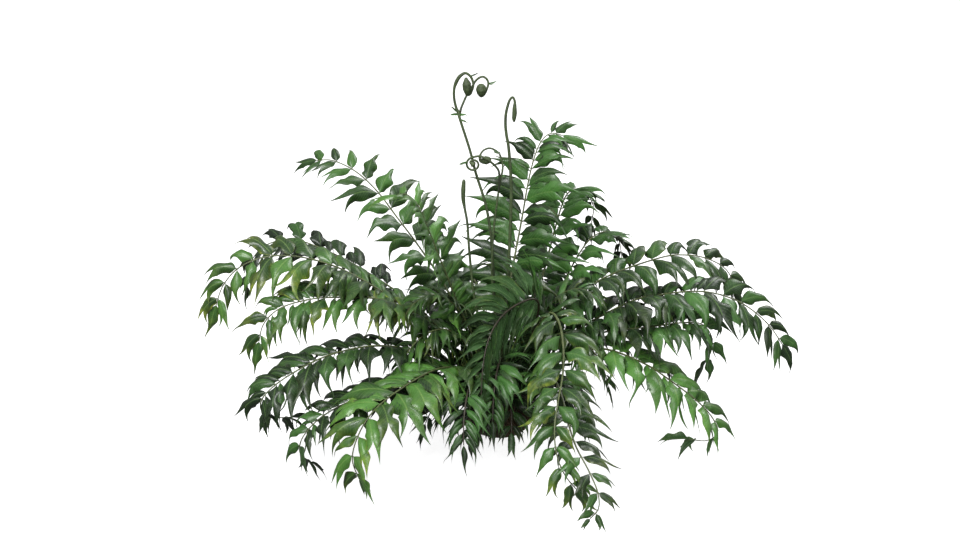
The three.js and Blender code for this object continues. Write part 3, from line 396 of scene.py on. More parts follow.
# %% Find every leaflet
BARE_FOOT, BARE_END, PAIR_SPACING, LEAF_WIDTH = 84, 14, 39, 0.33
FIRST_SIZE, TAPER, CROWDING, END_SIZE = 0.85, 0.48, 0.1, 0.6
SWEEP, SWEEP_GROWTH, RISE = 0.25, 0.5, 0.3
TOP, UNDER, STEM, DEAD = 0, 1, 2, 3


def stations(name):
    """Share of the way, distance from the base and length of the leaflets of each pair."""
    leaf, _, _, extra, _ = FRONDS[name]
    bare, early = extra.get("bare", BARE_FOOT), extra.get("early")
    leafy = routes[name].length - bare - BARE_END
    pairs = math.floor(leafy / extra.get("spacing", PAIR_SPACING) + 0.5)
    found = []
    for i in range(pairs):
        u = i / (pairs - 1)
        swell = mix(early or FIRST_SIZE, 1, smooth(u / (0.6 if early else 0.2)))
        taper = 1 - TAPER * smooth(2 * u - 1)
        found.append((u, bare + leafy * u * (1 + CROWDING * (1 - u)), leaf * swell * taper))
    return found


def side_lines(name, u, distance, sign, lengths, character, bends):
    """Midribs of a leaflet beside the stem, one for each bend."""
    droop = FRONDS[name][1]
    point, ahead, side, up = routes[name].at(distance)
    sweep = (SWEEP + SWEEP_GROWTH * u + bends[:, 1])[:, None]
    along = unit(side * sign * np.cos(sweep) + ahead * np.sin(sweep) + up * RISE)
    return midribs(point + side * sign * stem_radius(name, distance), along, square_to(up, along), lengths,
                   droop + character["limp"] + bends[:, 0], character["twist"] * sign)


def find_leaflets(index, name):
    leaf, droop, _, extra, _ = FRONDS[name]
    draw = frond_draws(SOLID_SEEDS, index)
    mesh = frame["nodes"][extra.get("joins", name)].data
    solid_points = np.array([vertex.co for vertex in mesh.vertices]) / MM
    places = [(u, distance, full, sign) for u, distance, full in stations(name) for sign in (1, -1)]
    found, missed = [], 0
    for u, distance, full, sign in [*places, (1.0, routes[name].length, leaf * END_SIZE, 0)]:
        character = draw_character(draw, extra.get("width", LEAF_WIDTH))
        if sign:
            lengths = full * character["stretch"] * BENDS[:, 2]
            lines = side_lines(name, u, distance, sign, lengths, character, BENDS)
        else:
            point, ahead, _, up = routes[name].at(distance)
            lengths = full * BENDS[:, 2]
            ones = np.ones((len(BENDS), 1))
            lines = midribs(point, ahead * ones, up * ones, lengths, droop / 2 + BENDS[:, 0],
                            character["twist"])
        choice = grown_choice(lines, lengths, character, solid_points)
        if choice is None:
            missed += 1
        else:
            found.append({"line": [part[choice] for part in lines], "length": lengths[choice],
                          "character": character, "u": u, "finish": (TOP, UNDER)})
    return found, missed


leaflets, places_left_empty = {}, 0
for index, name in enumerate(FRONDS):
    leaflets[name], missed = find_leaflets(index, name)
    places_left_empty += missed
print("leaflets", sum(map(len, leaflets.values())), "empty places", places_left_empty)

# %% [markdown]
# The solids hold only the larger leaflets. The real clump has many smaller ones between the pairs,
# most of them near its heart, where they make a dark tangle. So each frond gets some more over its
# inner share and along its foot, and the innermost fronds get narrow ones along their whole length.
# They follow the same rule as their neighbours. On the low skirt half of them are dead and brown.

# %% Smaller leaflets between the pairs
NARROW = {"frond_18": 0.15, "frond_19": 0.15, **{f"frond_{k}": 0.16 for k in range(22, 31)}}
LOOSE_SHARES = dict(zip(FRONDS, (
    0.5, 0.6, 0.6, 0.35, 0.25, 1, 0.6, 0.9, 0.4, 1, 0.5, 0.9, 0.8, 0.6, 0.9, 0.9, 0.8, 0, 0, 0.4, 0.4)))
SKIRT = {"frond_22", "frond_23", "frond_24", "frond_25"}
LOWEST_TIP = 6
CHANCE = 0.75
FIRST_FOOT, FOOT_SPACING = 34, 12


def smaller_leaflet(name, draw, u, distance, sign, length, width, limper, dead=False):
    """One more leaflet beside the stem, or none where it would touch the ground."""
    character = draw_character(draw, width)
    bend = np.array([[limper + (draw() - 0.5) * 0.8, (draw() - 0.5) * 0.4, 1.0]])
    lines = side_lines(name, u, distance, sign, np.array([length]), character, bend)
    line = [part[0] for part in lines]
    if line[0][:, 2].min() < LOWEST_TIP:
        return []
    return [{"line": line, "length": length, "character": character, "u": u, "small": True,
             "finish": (DEAD, DEAD) if dead else (TOP, UNDER)}]


def smaller_leaflets(index, name):
    draw = frond_draws(SMALL_SEEDS, index)
    narrow, found, pairs = name in NARROW, [], stations(name)
    for (u, here, full), (_, there, _) in zip(pairs, pairs[1:]):
        for sign in (1, -1) if narrow else (1, -1, 1, -1):
            distance = mix(here, there, 0.2 + 0.6 * draw())
            if narrow:
                dead = name in SKIRT and draw() < 0.5
                found += smaller_leaflet(name, draw, u, distance, sign, full * mix(0.7, 1.0, draw()),
                                         NARROW[name], 0.0, dead)
            elif u < LOOSE_SHARES[name] and draw() < CHANCE:
                found += smaller_leaflet(name, draw, u, distance, sign, full * mix(0.5, 1.0, draw()),
                                         mix(0.2, 0.28, draw()), mix(0.2, 0.9, draw()))
    for distance in np.arange(FIRST_FOOT, pairs[0][1] - 8, FOOT_SPACING):
        for sign in (1, -1):
            found += smaller_leaflet(name, draw, 0.0, distance + 8 * draw(), sign,
                                     mix(50, 105, draw()), mix(0.16, 0.26, draw()), 0.2 + draw())
    return found


for index, name in enumerate(FRONDS):
    leaflets[name] += smaller_leaflets(index, name)
print("with the smaller ones", sum(map(len, leaflets.values())))

# %% [markdown]
# A mesh is gathered as points, faces and a few numbers for each point, which the finish reads later:
# how far along the leaflet it lies, how far it lies from the rib, how light the leaf is painted, from
# its own tone and from painted light and shade, and how old it is. Everything that grows here, from a
# stem to a leaf's tail, is a skin over a stack of closed rings. So one rule makes all the faces, and
# every body is closed.

# %% A gathered mesh
POINT_NUMBERS = "along", "rib", "pale", "aged"
SHARP_EDGE = math.radians(50)


class Gathered:
    """Points, their numbers, and faces with their finishes, on the way to one mesh."""

    def __init__(self):
        self.points, self.numbers, self.faces, self.finish = [], [], [], []
        self.count = 0

    def add(self, points, along=0.0, rib=0.0, pale=0.5, aged=0.0):
        """Adds points laid out in any grid, and returns their numbers laid out the same way."""
        shape = points.shape[:-1]
        self.points.append(points.reshape(-1, 3))
        self.numbers.append(np.stack([np.broadcast_to(value, shape).ravel()
                                      for value in (along, rib, pale, aged)]))
        first = self.count
        self.count += len(self.points[-1])
        return np.arange(first, self.count).reshape(shape)

    def skin(self, rings, finishes):
        """Faces between rings of point numbers that run counter-clockwise about the way ahead."""
        turned_on = np.roll(rings, -1, axis=-1)
        faces = np.stack([rings[..., :-1, :], turned_on[..., :-1, :], turned_on[..., 1:, :],
                          rings[..., 1:, :]], axis=-1)
        self.faces.extend(faces.reshape(-1, 4).tolist())
        self.finish.extend(np.broadcast_to(finishes, faces.shape[:-1]).ravel().tolist())

    def cap(self, ring, finish, start=False):
        self.faces.append([int(corner) for corner in (ring[::-1] if start else ring)])
        self.finish.append(finish)

    def tube(self, rings, finish=0):
        """A closed rod over a stack of rings."""
        self.skin(rings, finish)
        self.cap(rings[0], finish, start=True)
        self.cap(rings[-1], finish)

    def piece(self, name, materials, slot, node=None):
        """Makes the object, rides it on the plant and hides the solid it stands for."""
        mesh = bpy.data.meshes.new(name)
        mesh.from_pydata((np.concatenate(self.points) * MM).tolist(), [], self.faces)
        for key, values in zip(POINT_NUMBERS, np.concatenate(self.numbers, axis=1)):
            mesh.attributes.new(key, "FLOAT", "POINT").data.foreach_set("value", values)
        for material in materials:
            mesh.materials.append(material)
        mesh.polygons.foreach_set("material_index", self.finish)
        mesh.polygons.foreach_set("use_smooth", [True] * len(self.faces))
        mesh.set_sharp_from_angle(angle=SHARP_EDGE)
        mesh.validate()
        thing = add_thing(name, mesh)
        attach(thing, "root")
        if node:
            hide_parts(node)

    def triangles(self):
        return sum(len(face) - 2 for face in self.faces)


print("numbers at each point", POINT_NUMBERS)

# %% [markdown]
# Finishes are built from nodes, with no pictures. A leaf's finish needs some fifty of them, and
# writing out every node and link would hide the idea. So one small class makes them: each call adds a
# node, gives its inputs plain numbers or what other nodes give out, and returns what it works out.

# %% Helpers for finishes
def srgb(code):
    """A colour from its six-figure code, as light."""
    parts = [int(code[k:k + 2], 16) / 255 for k in (0, 2, 4)]
    return tuple(p / 12.92 if p <= 0.04045 else ((p + 0.055) / 1.055) ** 2.4 for p in parts) + (1,)


class Nodes:
    """The nodes of a material or of the sky, made and joined by short calls."""

    def __init__(self, owner, main="Principled BSDF"):
        owner.use_nodes = True
        self.owner, self.tree = owner, owner.node_tree
        self.main = self.tree.nodes[main]

    def feed(self, node, inputs):
        """Gives each input a plain value, or a link where the value is worked out by a node."""
        for key, value in inputs.items():
            if isinstance(value, bpy.types.NodeSocket):
                self.tree.links.new(value, node.inputs[key])
            else:
                node.inputs[key].default_value = value

    def add(self, kind, inputs, output=0):
        node = self.tree.nodes.new(kind)
        self.feed(node, inputs)
        return node.outputs[output]

    def maths(self, operation, *values):
        result = self.add("ShaderNodeMath", dict(enumerate(values)))
        result.node.operation = operation
        return result

    def plus(self, first, second):
        return self.maths("ADD", first, second)

    def minus(self, first, second):
        return self.maths("SUBTRACT", first, second)

    def times(self, first, second):
        return self.maths("MULTIPLY", first, second)

    def blend(self, share, first, second):
        """A mix of two colours."""
        node = self.tree.nodes.new("ShaderNodeMix")
        node.data_type = "RGBA"
        self.feed(node, {0: share, 6: first, 7: second})
        return node.outputs[2]

    def number(self, name):
        result = self.add("ShaderNodeAttribute", {}, "Fac")
        result.node.attribute_name = name
        return result

    def clouds(self, scale, detail=3.0):
        place = self.add("ShaderNodeTexCoord", {}, "Object")
        return self.add("ShaderNodeTexNoise", {"Scale": scale, "Detail": detail, "Vector": place}, "Fac")

    def steepened(self, value, low, high):
        result = self.add("ShaderNodeMapRange", {"Value": value, "From Min": low, "From Max": high},
                          "Result")
        result.node.interpolation_type = "SMOOTHSTEP"
        return result

    def relief(self, height, distance):
        inputs = {"Strength": 1.0, "Distance": distance, "Height": height}
        self.feed(self.main, {"Normal": self.add("ShaderNodeBump", inputs, "Normal")})


print("colour of the sample code", srgb("4a7b30"))

# %% [markdown]
# A leaf's upper side is a waxy green that varies from leaflet to leaflet and, in slow clouds, within
# one. The leaflet's number mixes its own tone with painted light and painted shade. Fine veins leave
# the rib at a slant. They could be cut into the mesh, but at this size faint stripes of the rib colour
# and a shallow relief show them as well. The underside is duller and more olive, and old leaflets go
# yellow towards their rims and tips. Each slot has a finish for either side, made from a deep and a
# fresh green, the colour of the ribs and the colour that the leaf fades to. The four slots are copies
# of one leaf, painted lighter or darker by how much light falls on their fronds: painted light and
# painted shade.

# %% Leaf finishes
VEINS, VEIN_SLANT = 15, 2.4
QUILTING = 0.003


def leaf_finish(name, deep, fresh, rib_colour, faded, roughness, coat):
    paint = Nodes(bpy.data.materials.new(name))
    along, rib = paint.number("along"), paint.number("rib")
    times, steepened = paint.times, paint.steepened
    slant = paint.minus(times(along, VEINS), times(rib, VEIN_SLANT))
    vein = steepened(paint.maths("SINE", times(slant, 2 * math.pi)), 0.55, 1.0)
    midrib = steepened(paint.minus(1.0, rib), 0.9, 1.0)
    # The leaflet's own tone together with its painted light and shade, and slow clouds.
    leaf_tone_and_light = paint.plus(times(paint.number("pale"), 0.7), times(paint.clouds(42), 0.6))
    colour = paint.blend(steepened(leaf_tone_and_light, 0.25, 1.05), srgb(deep), srgb(fresh))
    spots = steepened(paint.clouds(75, 4.0), 0.42, 0.66)
    outer = paint.maths("MAXIMUM", steepened(along, 0.3, 0.9), steepened(rib, 0.6, 1.0))
    yellow = times(times(paint.number("aged"), outer), paint.plus(0.4, spots))
    colour = paint.blend(paint.maths("MINIMUM", yellow, 0.9), colour, srgb(faded))
    for line, strength in ((vein, 0.16), (midrib, 0.5)):
        colour = paint.blend(times(line, strength), colour, srgb(rib_colour))
    paint.feed(paint.main, {
        "Base Color": colour, "Roughness": paint.plus(roughness - 0.1, times(paint.clouds(70), 0.24)),
        "Coat Weight": coat, "Coat Roughness": 0.32, "Specular IOR Level": 0.25})
    quilted = paint.plus(paint.clouds(55, 2.0), times(paint.clouds(240), 0.3))
    paint.relief(paint.minus(quilted, times(vein, 0.25)), QUILTING)
    return paint.owner


# Copies of one leaf finish, lit, half lit, dim and shaded: painted light and painted shade.
LEAF_TOPS = {
    "leaf_bright": leaf_finish("painted_lit_leaf_top", "18340f", "4a7b30", "7c9a50", "9aa63a", 0.42, 0.6),
    "leaf_mid": leaf_finish("painted_half_lit_leaf_top", "142e0f", "3d692a", "6a8a48", "8d9c38", 0.42, 0.6),
    "leaf_dark": leaf_finish("painted_dim_leaf_top", "11260d", "437230", "668748", "7a8a30", 0.43, 0.5),
    "leaf_shade": leaf_finish("painted_shade_leaf_top", "0f1f0c", "3d6a2d", "5c7e44", "66762a", 0.46, 0.4),
}
# The undersides in the same four steps of painted light and painted shade.
LEAF_UNDERS = {
    "leaf_bright": leaf_finish("painted_lit_leaf_under", "1a2e17", "38592f", "74935e", "7d8540", 0.5, 0.15),
    "leaf_mid": leaf_finish("painted_half_lit_leaf_under", "1c2d15", "344a24", "556c3c", "6c7436", 0.6, 0.0),
    "leaf_dark": leaf_finish("painted_dim_leaf_under", "131d0f", "2c4220", "455a32", "525a2a", 0.62, 0.0),
    "leaf_shade": leaf_finish("painted_shade_leaf_under", "0e150b", "24361a", "3a4a28", "424a22", 0.65, 0.0),
}
print("leaf finishes", len(LEAF_TOPS) + len(LEAF_UNDERS))

# %% [markdown]
# Stems are green-brown with a fine grain, and darker at the foot, where dry scales cover them. Young
# shoots, the almost black stem of the middle frond and the dead matter of the rootstock differ only
# in their colours and in how coarse their grain is. So one recipe does for all of them, and none
# needs a finish of its own kind.

# %% Stem and root finishes
def stalk_finish(name, dark, light, roughness, grain=260, depth=0.0006):
    paint = Nodes(bpy.data.materials.new(name))
    mottle = paint.plus(paint.times(paint.clouds(grain, 4.0), 0.6), paint.times(paint.clouds(22), 0.4))
    shade = paint.minus(mottle, paint.times(paint.number("aged"), 0.3))
    paint.feed(paint.main, {
        "Base Color": paint.blend(paint.steepened(shade, 0.2, 0.75), srgb(dark), srgb(light)),
        "Roughness": paint.plus(roughness - 0.1, paint.times(mottle, 0.2))})
    paint.relief(paint.clouds(grain * 2, 4.0), depth)
    return paint.owner


GREEN_STEM = stalk_finish("green_stem", "262c15", "5b663b", 0.5)
BROWN_STEM = stalk_finish("brown_stem", "15120a", "342c1a", 0.55)
YOUNG_STEM = stalk_finish("young_stem", "1f2917", "4a5a35", 0.6)
DRY_SCALE = stalk_finish("dry_scale", "1f160b", "5a4527", 0.75, 500)
OLD_ROOT = stalk_finish("old_root", "1c140b", "4a3a24", 0.85, 160, 0.002)
DEAD_LEAF = stalk_finish("dead_leaf", "191a0d", "45401f", 0.7, 120, 0.0008)
DARK_STEMS = {"frond_18", "frond_19", "frond_22", "frond_23", "frond_24", "frond_25", "frond_28"}
# These two fronds take the lit copy of the underside finish: painted light on their undersides.
PAINTED_LIGHT_UNDERS = {"frond_18", "frond_19"}
print("stem finishes ready")

# %% [markdown]
# A leaflet is broad and domed, its rim waves, and it thins to a long drip tip, mostly two of them.
# One flat outline cut from a plane couldn't fork and droop at once, so the blade is a stack of rings
# across the midrib. Each ring runs over the top from one rim to the other, and back along the
# underside with fewer points. The smaller leaflets have fewer points and rows.

# %% Rows and columns of a blade
def eased(rows, at, values):
    """Like a straight interpolation, but level at every given row, so that no kink shows."""
    k = np.clip(np.searchsorted(at, rows) - 1, 0, len(at) - 2)
    at, values = np.array(at, float), np.array(values, float)
    share = smooth((rows - at[k]) / (at[k + 1] - at[k]))
    return values[k] * (1 - share) + values[k + 1] * share


class BladeGrid:
    """Where the points of a ring lie across the midrib, and how far above or below the blade."""

    def __init__(self, top, under, every):
        self.columns = np.array([*top, *under])
        reach = np.abs(self.columns)
        self.on_top = np.arange(len(self.columns)) < len(top)
        self.thickness = np.where(self.on_top, np.interp(reach, [0, 0.1, 1], [0.55, 0.3, 0.0]),
                                  np.interp(reach, [0, 0.12, 0.8], [-0.85, -0.45, -0.15]))
        self.last_top, self.rib = len(top) - 1, len(top) // 2
        rib_under = len(top) + len(under) // 2
        self.halves = {1: np.r_[0:self.rib + 1, rib_under:len(self.columns)],
                       -1: np.r_[self.rib:rib_under + 1]}
        self.body = BODY_ROWS[::every]
        self.tail, self.tail_widths = TAIL_SHARES[every - 1::every], TAIL_WIDTHS[every - 1::every]
        self.prong, self.prong_widths = PRONG_SHARES[every - 1::every], PRONG_WIDTHS[every - 1::every]


BODY_ROWS = np.array([-0.25, 0.1, 0.35, 0.65, 1, 1.45, 2, 2.6, 3.2, 3.8, 4.4, 5, 5.6, 6.3, 7])
OUTLINE = ([-0.25, 0.1, 0.35, 0.65, 1.0, 1.5, 2.1, 2.8, 3.6, 4.4, 5.2],
           [0.05, 0.06, 0.13, 0.29, 0.48, 0.69, 0.86, 0.96, 1.0, 0.99, 0.95])
FORKED_END, PLAIN_END = ([6.1, 7.0], [0.92, 0.92]), ([6.1, 7.0], [0.82, 0.64])
TAIL_SHARES = np.array([0.12, 0.23, 0.35, 0.47, 0.6, 0.73, 0.86, 1.0])
TAIL_WIDTHS = np.array([0.5, 0.385, 0.285, 0.2, 0.135, 0.085, 0.045, 0.015])
PRONG_SHARES = np.array([0.08, 0.17, 0.27, 0.38, 0.5, 0.62, 0.74, 0.85, 0.94, 1.0])
PRONG_WIDTHS = np.array([0.96, 0.87, 0.74, 0.58, 0.43, 0.3, 0.19, 0.11, 0.05, 0.02])
FINE = BladeGrid([1, 0.82, 0.58, 0.32, 0.1, 0, -0.1, -0.32, -0.58, -0.82, -1],
                 [-0.8, -0.4, -0.12, 0, 0.12, 0.4, 0.8], 1)
COARSE = BladeGrid([1, 0.5, 0, -0.5, -1], [-0.6, 0, 0.6], 2)


def line_at(line, rows):
    """Points, ways along and ups of a midrib, smoothly between its spots and straight past its end."""
    points, alongs, ups = line
    over = np.clip(rows - LINE_STEPS, 0, None)[:, None]
    k = np.clip(np.floor(rows).astype(int), 0, LINE_STEPS - 1)
    t = np.minimum(rows - k, 1)[:, None]
    step = np.linalg.norm(points[1] - points[0])
    place = curve(points[k], points[k + 1], alongs[k] * step, alongs[k + 1] * step, t)
    place = place + alongs[-1] * step * over
    ahead = unit(mix(alongs[k], alongs[k + 1], np.clip(t, 0, 1)))
    return place, ahead, square_to(mix(ups[k], ups[k + 1], np.clip(t, 0, 1)), ahead)


print("points round a blade", len(FINE.columns), "or", len(COARSE.columns))

# %% [markdown]
# No two leaflets wave alike. Each draws how deep its rim ripples and where the ripples begin on
# either side, how far it is folded along its rib, and how its tail swings. The waves that the solid
# has are kept, and these come on top of them. The thin tails run a little past the blunter ends of
# the solids, except where the ground is near.

# %% Grow one leaflet
PAST_END, NEAR_GROUND = 0.1, 30


def draw_manner(draw):
    return {"fold": mix(0.28, 0.85, draw() ** 1.5), "ripple": mix(0.14, 0.38, draw()),
            "pace": mix(0.8, 1.4, draw()), "phases": {1: draw() * 6.28, -1: draw() * 6.28},
            "swing": (draw() - 0.5) * 0.36, "curl": (draw() - 0.7) * 0.28,
            "pale": mix(0.1, 0.95, draw())}


def rim_heights(rows, character, side, length, manner):
    """Height of one rim above the midrib's level at each row, as a share of the half width."""
    a, b, c, d = character["waves"]
    near, far = (a, c) if side > 0 else (b, d)
    if length < SMALL_LEAF:
        wave = eased(rows, [-1, ONLY_RING, 14], [0, near, 0])
    else:
        wave = eased(rows, [-1, FIRST_RING, SECOND_RING, 14], [0, near, far, 0])
    ripple = manner["ripple"] * np.sin(rows * manner["pace"] + manner["phases"][side])
    return wave + ripple * np.interp(rows, [0, 2, 8, 12], [0, 1, 0.8, 0])


def half_width_at(rows, end):
    """Share of the full half width at each row."""
    return np.interp(rows, OUTLINE[0] + end[0], OUTLINE[1] + end[1])


def by_side(columns, values):
    """A grid of the values of one side or the other, whichever a column lies on."""
    return np.where(columns > 0, values(1)[:, None], values(-1)[:, None])


def grow_leaflet(mesh, leaflet, draw, aged):
    character, length = leaflet["character"], leaflet["length"]
    grid = COARSE if leaflet.get("small") else FINE
    columns, half = grid.columns, character["width"] * length / 2
    manner = draw_manner(draw)
    # Painted light and shade of the frond, added to the leaflet's own tone.
    manner["pale"] += leaflet.get("paler", 0.0)
    manner["ripple"] *= min(1.0, max(0.2, (length - 35) / 60))
    past = 0.0 if leaflet["line"][0][-1, 2] < NEAR_GROUND else PAST_END
    rows, widths = grid.body, half_width_at(grid.body, FORKED_END if character["forked"] else PLAIN_END)
    if not character["forked"]:
        rows = np.concatenate([rows, 7 + grid.tail * (5 + 12 * past)])
        widths = np.concatenate([widths, grid.tail_widths])
    place, ahead, up = line_at(leaflet["line"], rows)
    across = np.cross(up, ahead)
    tail = np.clip((rows - 6) / 6, 0, 1)[:, None] ** 2 * length
    place = place + across * tail * manner["swing"] + up * tail * manner["curl"]
    reach = np.abs(columns)
    rims = by_side(columns, lambda side: rim_heights(rows, character, side, length, manner))
    waves = by_side(columns, lambda side: np.sin(rows * manner["pace"] * 1.1 + manner["phases"][-side]))
    heights = (rims * reach ** 2 - manner["fold"] * widths[:, None] * reach ** 1.7
               + 0.12 * widths[:, None] * np.sin(np.pi * reach))
    lobes = 1 + manner["ripple"] * 0.85 * waves
    spread = columns * lobes * (widths * half)[:, None]
    lift = heights * half + grid.thickness * np.clip(widths * 3, 0.2, 1)[:, None]
    spots = place[:, None] + across[:, None] * spread[..., None] + up[:, None] * lift[..., None]
    rings = mesh.add(spots, np.clip(rows, 0, 12)[:, None] / 12, reach, manner["pale"], aged)
    top, under = leaflet["finish"]
    mesh.skin(rings, np.where(np.arange(len(columns)) < grid.last_top, top, under))
    mesh.cap(rings[0], under, start=True)
    if character["forked"]:
        grow_prongs(mesh, leaflet, grid, rings[-1], spots[-1], draw, manner, aged, past, (top, under))
    else:
        mesh.cap(rings[-1], under)


print("how a leaflet may grow", draw_manner(seeded_draws(1)))

# %% [markdown]
# A forked blade's last ring is shared out between two prongs: each takes the points of its own half
# and both take the pair on the rib. Each prong then narrows along a curve to its own tip, the first a
# little longer than the other, and swings its own way.

# %% Grow the two prongs of a forked leaflet
def grow_prongs(mesh, leaflet, grid, ring, spots, draw, manner, aged, past, finish):
    (points, alongs, ups), length = leaflet["line"], leaflet["length"]
    character = leaflet["character"]
    half = character["width"] * length / 2
    across_end = np.cross(ups[-1], alongs[-1])
    short = (1 - character["shorter"]) * length
    for side in (1, -1):
        tip = points[-1] + across_end * half * side * (character["spread"] + mix(0.1, 0.9, draw()))
        tip = tip + alongs[-1] * (past * length - (short if side < 0 else 0.0))
        inner, outer = spots[grid.rib], spots[0 if side > 0 else grid.last_top]
        start = (inner + outer) / 2
        reach = np.linalg.norm(tip - start)
        bend = start + alongs[7] * reach * 0.5
        widest = np.linalg.norm(outer - inner) / 2
        shares_on = grid.prong
        t = shares_on[:, None]
        middle = start * (1 - t) ** 2 + bend * 2 * t * (1 - t) + tip * t * t
        heading = unit((bend - start) * (1 - t) + (tip - bend) * t)
        across = square_to((outer - inner) * side / (2 * widest) * (1 - t) + across_end * t, heading)
        up = np.cross(heading, across)
        swing, curl = (draw() - 0.5) * 0.36 * reach, (draw() - 0.65) * 0.3 * reach
        middle = middle + across * swing * t**2 + up * curl * t**2
        lobes = 1 + 0.08 * np.sin(shares_on * 7 + manner["phases"][side]) * (1 - shares_on)
        wide = (grid.prong_widths * widest * lobes)[:, None]
        own = grid.halves[side]
        shares = 2 * grid.columns[own] - side
        dome = 0.34 * wide * (1 - shares ** 2) * smooth(t * 2.5 + 0.3)
        edge = np.where(grid.on_top[own], 1, -1) * (0.06 + 0.24 * (1 - shares ** 2))
        edge = np.where(shares == side, 0, edge) * (1 - 0.6 * t)
        ribs = mix(np.abs(grid.columns[own]), np.abs(shares), smooth(t * 3))
        places = (middle[:, None] + across[:, None] * (shares * wide)[..., None]
                  + up[:, None] * (dome + edge)[..., None])
        new = mesh.add(places, (7 + 5 * t) / 12, ribs, manner["pale"], aged)
        rings = np.concatenate([ring[own][None], new])
        mesh.skin(rings, np.where(own < grid.last_top, *finish))
        mesh.cap(rings[-1], finish[1])


sample = Gathered()
grow_leaflet(sample, leaflets["frond_01"][0], seeded_draws(1), 0.0)
print("triangles in one leaflet", sample.triangles())

# %% [markdown]
# The stem of a frond is a tapering rod with a groove along its upper side, as a fern's has. Eight
# points a ring are plenty for something two to eight millimetres thick. It swells a little where a
# pair of leaflets joins it.

# %% Grow one stem
STEM_SIDES, STEM_SPACING, SLIMMER = 8, 8.0, 0.76
GROOVE_FROM, GROOVE_LEVEL = 0.85, 0.72


def grow_stem(mesh, name):
    route = routes[name]
    joints = np.array([distance for _, distance, _ in stations(name)])
    angles = 2 * math.pi * (np.arange(STEM_SIDES) + 0.5) / STEM_SIDES
    lifts = np.sin(angles) * np.where(np.sin(angles) > GROOVE_FROM, GROOVE_LEVEL, 1.0)
    rings = []
    distances = np.linspace(0, route.length, max(3, round(route.length / STEM_SPACING)))
    for distance in distances:
        point, _, side, up = route.at(distance)
        swelling = 1 + 0.2 * math.exp(-((np.abs(joints - distance).min() / 5) ** 2))
        radius = stem_radius(name, distance) * SLIMMER * swelling
        rings.append(point + radius * (side * np.cos(angles)[:, None] + up * lifts[:, None]))
    age = np.array([1 - smooth(distance / 120) for distance in distances])
    mesh.tube(mesh.add(np.stack(rings), distances[:, None] / route.length, 0.0, 0.5, age[:, None]), STEM)


print("a stem has", STEM_SIDES, "sides")

# %% [markdown]
# One frond grew as one piece, so its stem, leaflets and tips become one mesh with four finishes, and
# the short fronds that share a solid with another go into that one's mesh. They could be made apart
# and joined afterwards, but gathering all their points first is quicker. Fronds at the back and low
# down are painted darker than those in front, as painted shade, and a few are painted lighter, as
# painted light. Old ones are yellow in places. So each leaflet gets a number for either.

# %% Make the fronds
YELLOWING = {"frond_01": 0.4, "frond_04": 0.5, "frond_08": 0.5, "frond_02": 0.35, "frond_24": 0.5,
             "frond_18": 0.2, "frond_22": 0.4, "frond_11": 0.3, "frond_30": 0.3}
# Painted light and shade for each frond: how much lighter or darker its leaflets are painted for the light
# that falls on it.
PAINTED_LIGHT_BY_FROND = dict(zip(FRONDS, (
    -0.15, 0, -0.25, 0, 0, -0.1, 0.15, 0.05, -0.4, 0.2, -0.25, -0.5, -0.35, -0.45, -0.05, 0.55, -0.2,
    0.45, -0.05, -0.1, -0.1, -0.3, -0.25, -0.25, -0.3, -0.4, -0.4, 0, -0.4, -0.2)))
# The first number is the painted shade that the smaller leaflets get on top.
SMALL_LEAFLETS_PAINTED_SHADE, LEAST_YELLOW = 0.08, 0.1


def grow_frond(mesh, index, name):
    draw = frond_draws(MANNER_SEEDS, index)
    grow_stem(mesh, name)
    yellowing = YELLOWING.get(name, LEAST_YELLOW)
    for leaflet in leaflets[name]:
        aged = yellowing * (1.6 if draw() > 0.6 else 0.35) * draw() + 0.2 * leaflet["u"] ** 3 * yellowing
        # Painted light and shade: the frond's share, and more painted shade on the smaller leaflets.
        leaflet["paler"] = PAINTED_LIGHT_BY_FROND[name] - (SMALL_LEAFLETS_PAINTED_SHADE if leaflet.get("small") else 0.0)
        grow_leaflet(mesh, leaflet, draw, min(aged, 1.0))


def make_frond(name):
    mesh = Gathered()
    numbered = list(FRONDS)
    guests = [other for other in FRONDS if FRONDS[other][3].get("joins") == name]
    for grown in (name, *guests):
        grow_frond(mesh, numbered.index(grown), grown)
    slot = slot_of[name]
    stem = BROWN_STEM if name in DARK_STEMS else GREEN_STEM
    # The underside: the slot's own lit or shaded copy, or the lit copy as painted light.
    under = LEAF_UNDERS["leaf_bright" if name in PAINTED_LIGHT_UNDERS else slot]
    mesh.piece(f"{name}_leafy", [LEAF_TOPS[slot], under, stem, DEAD_LEAF], slot, name)
    return mesh.triangles()


triangle_counts = [make_frond(name) for name in FRONDS if "joins" not in FRONDS[name][3]]
print("frond triangles", sum(triangle_counts), "largest", max(triangle_counts))

# %% [markdown]
# The rootstock is a lumpy knot. Its solid is right in form but too smooth and has flat sides, so a
# copy of it is remeshed into small even faces, relaxed, and pushed in and out by noise. The solid
# itself stays as it is.

# %% Roughen the rootstock
FACE_SIZE, FLAT_FOOT = 0.0022, 0.003
STRING_DEPTH, LUMP_DEPTH = 0.0016, 0.002


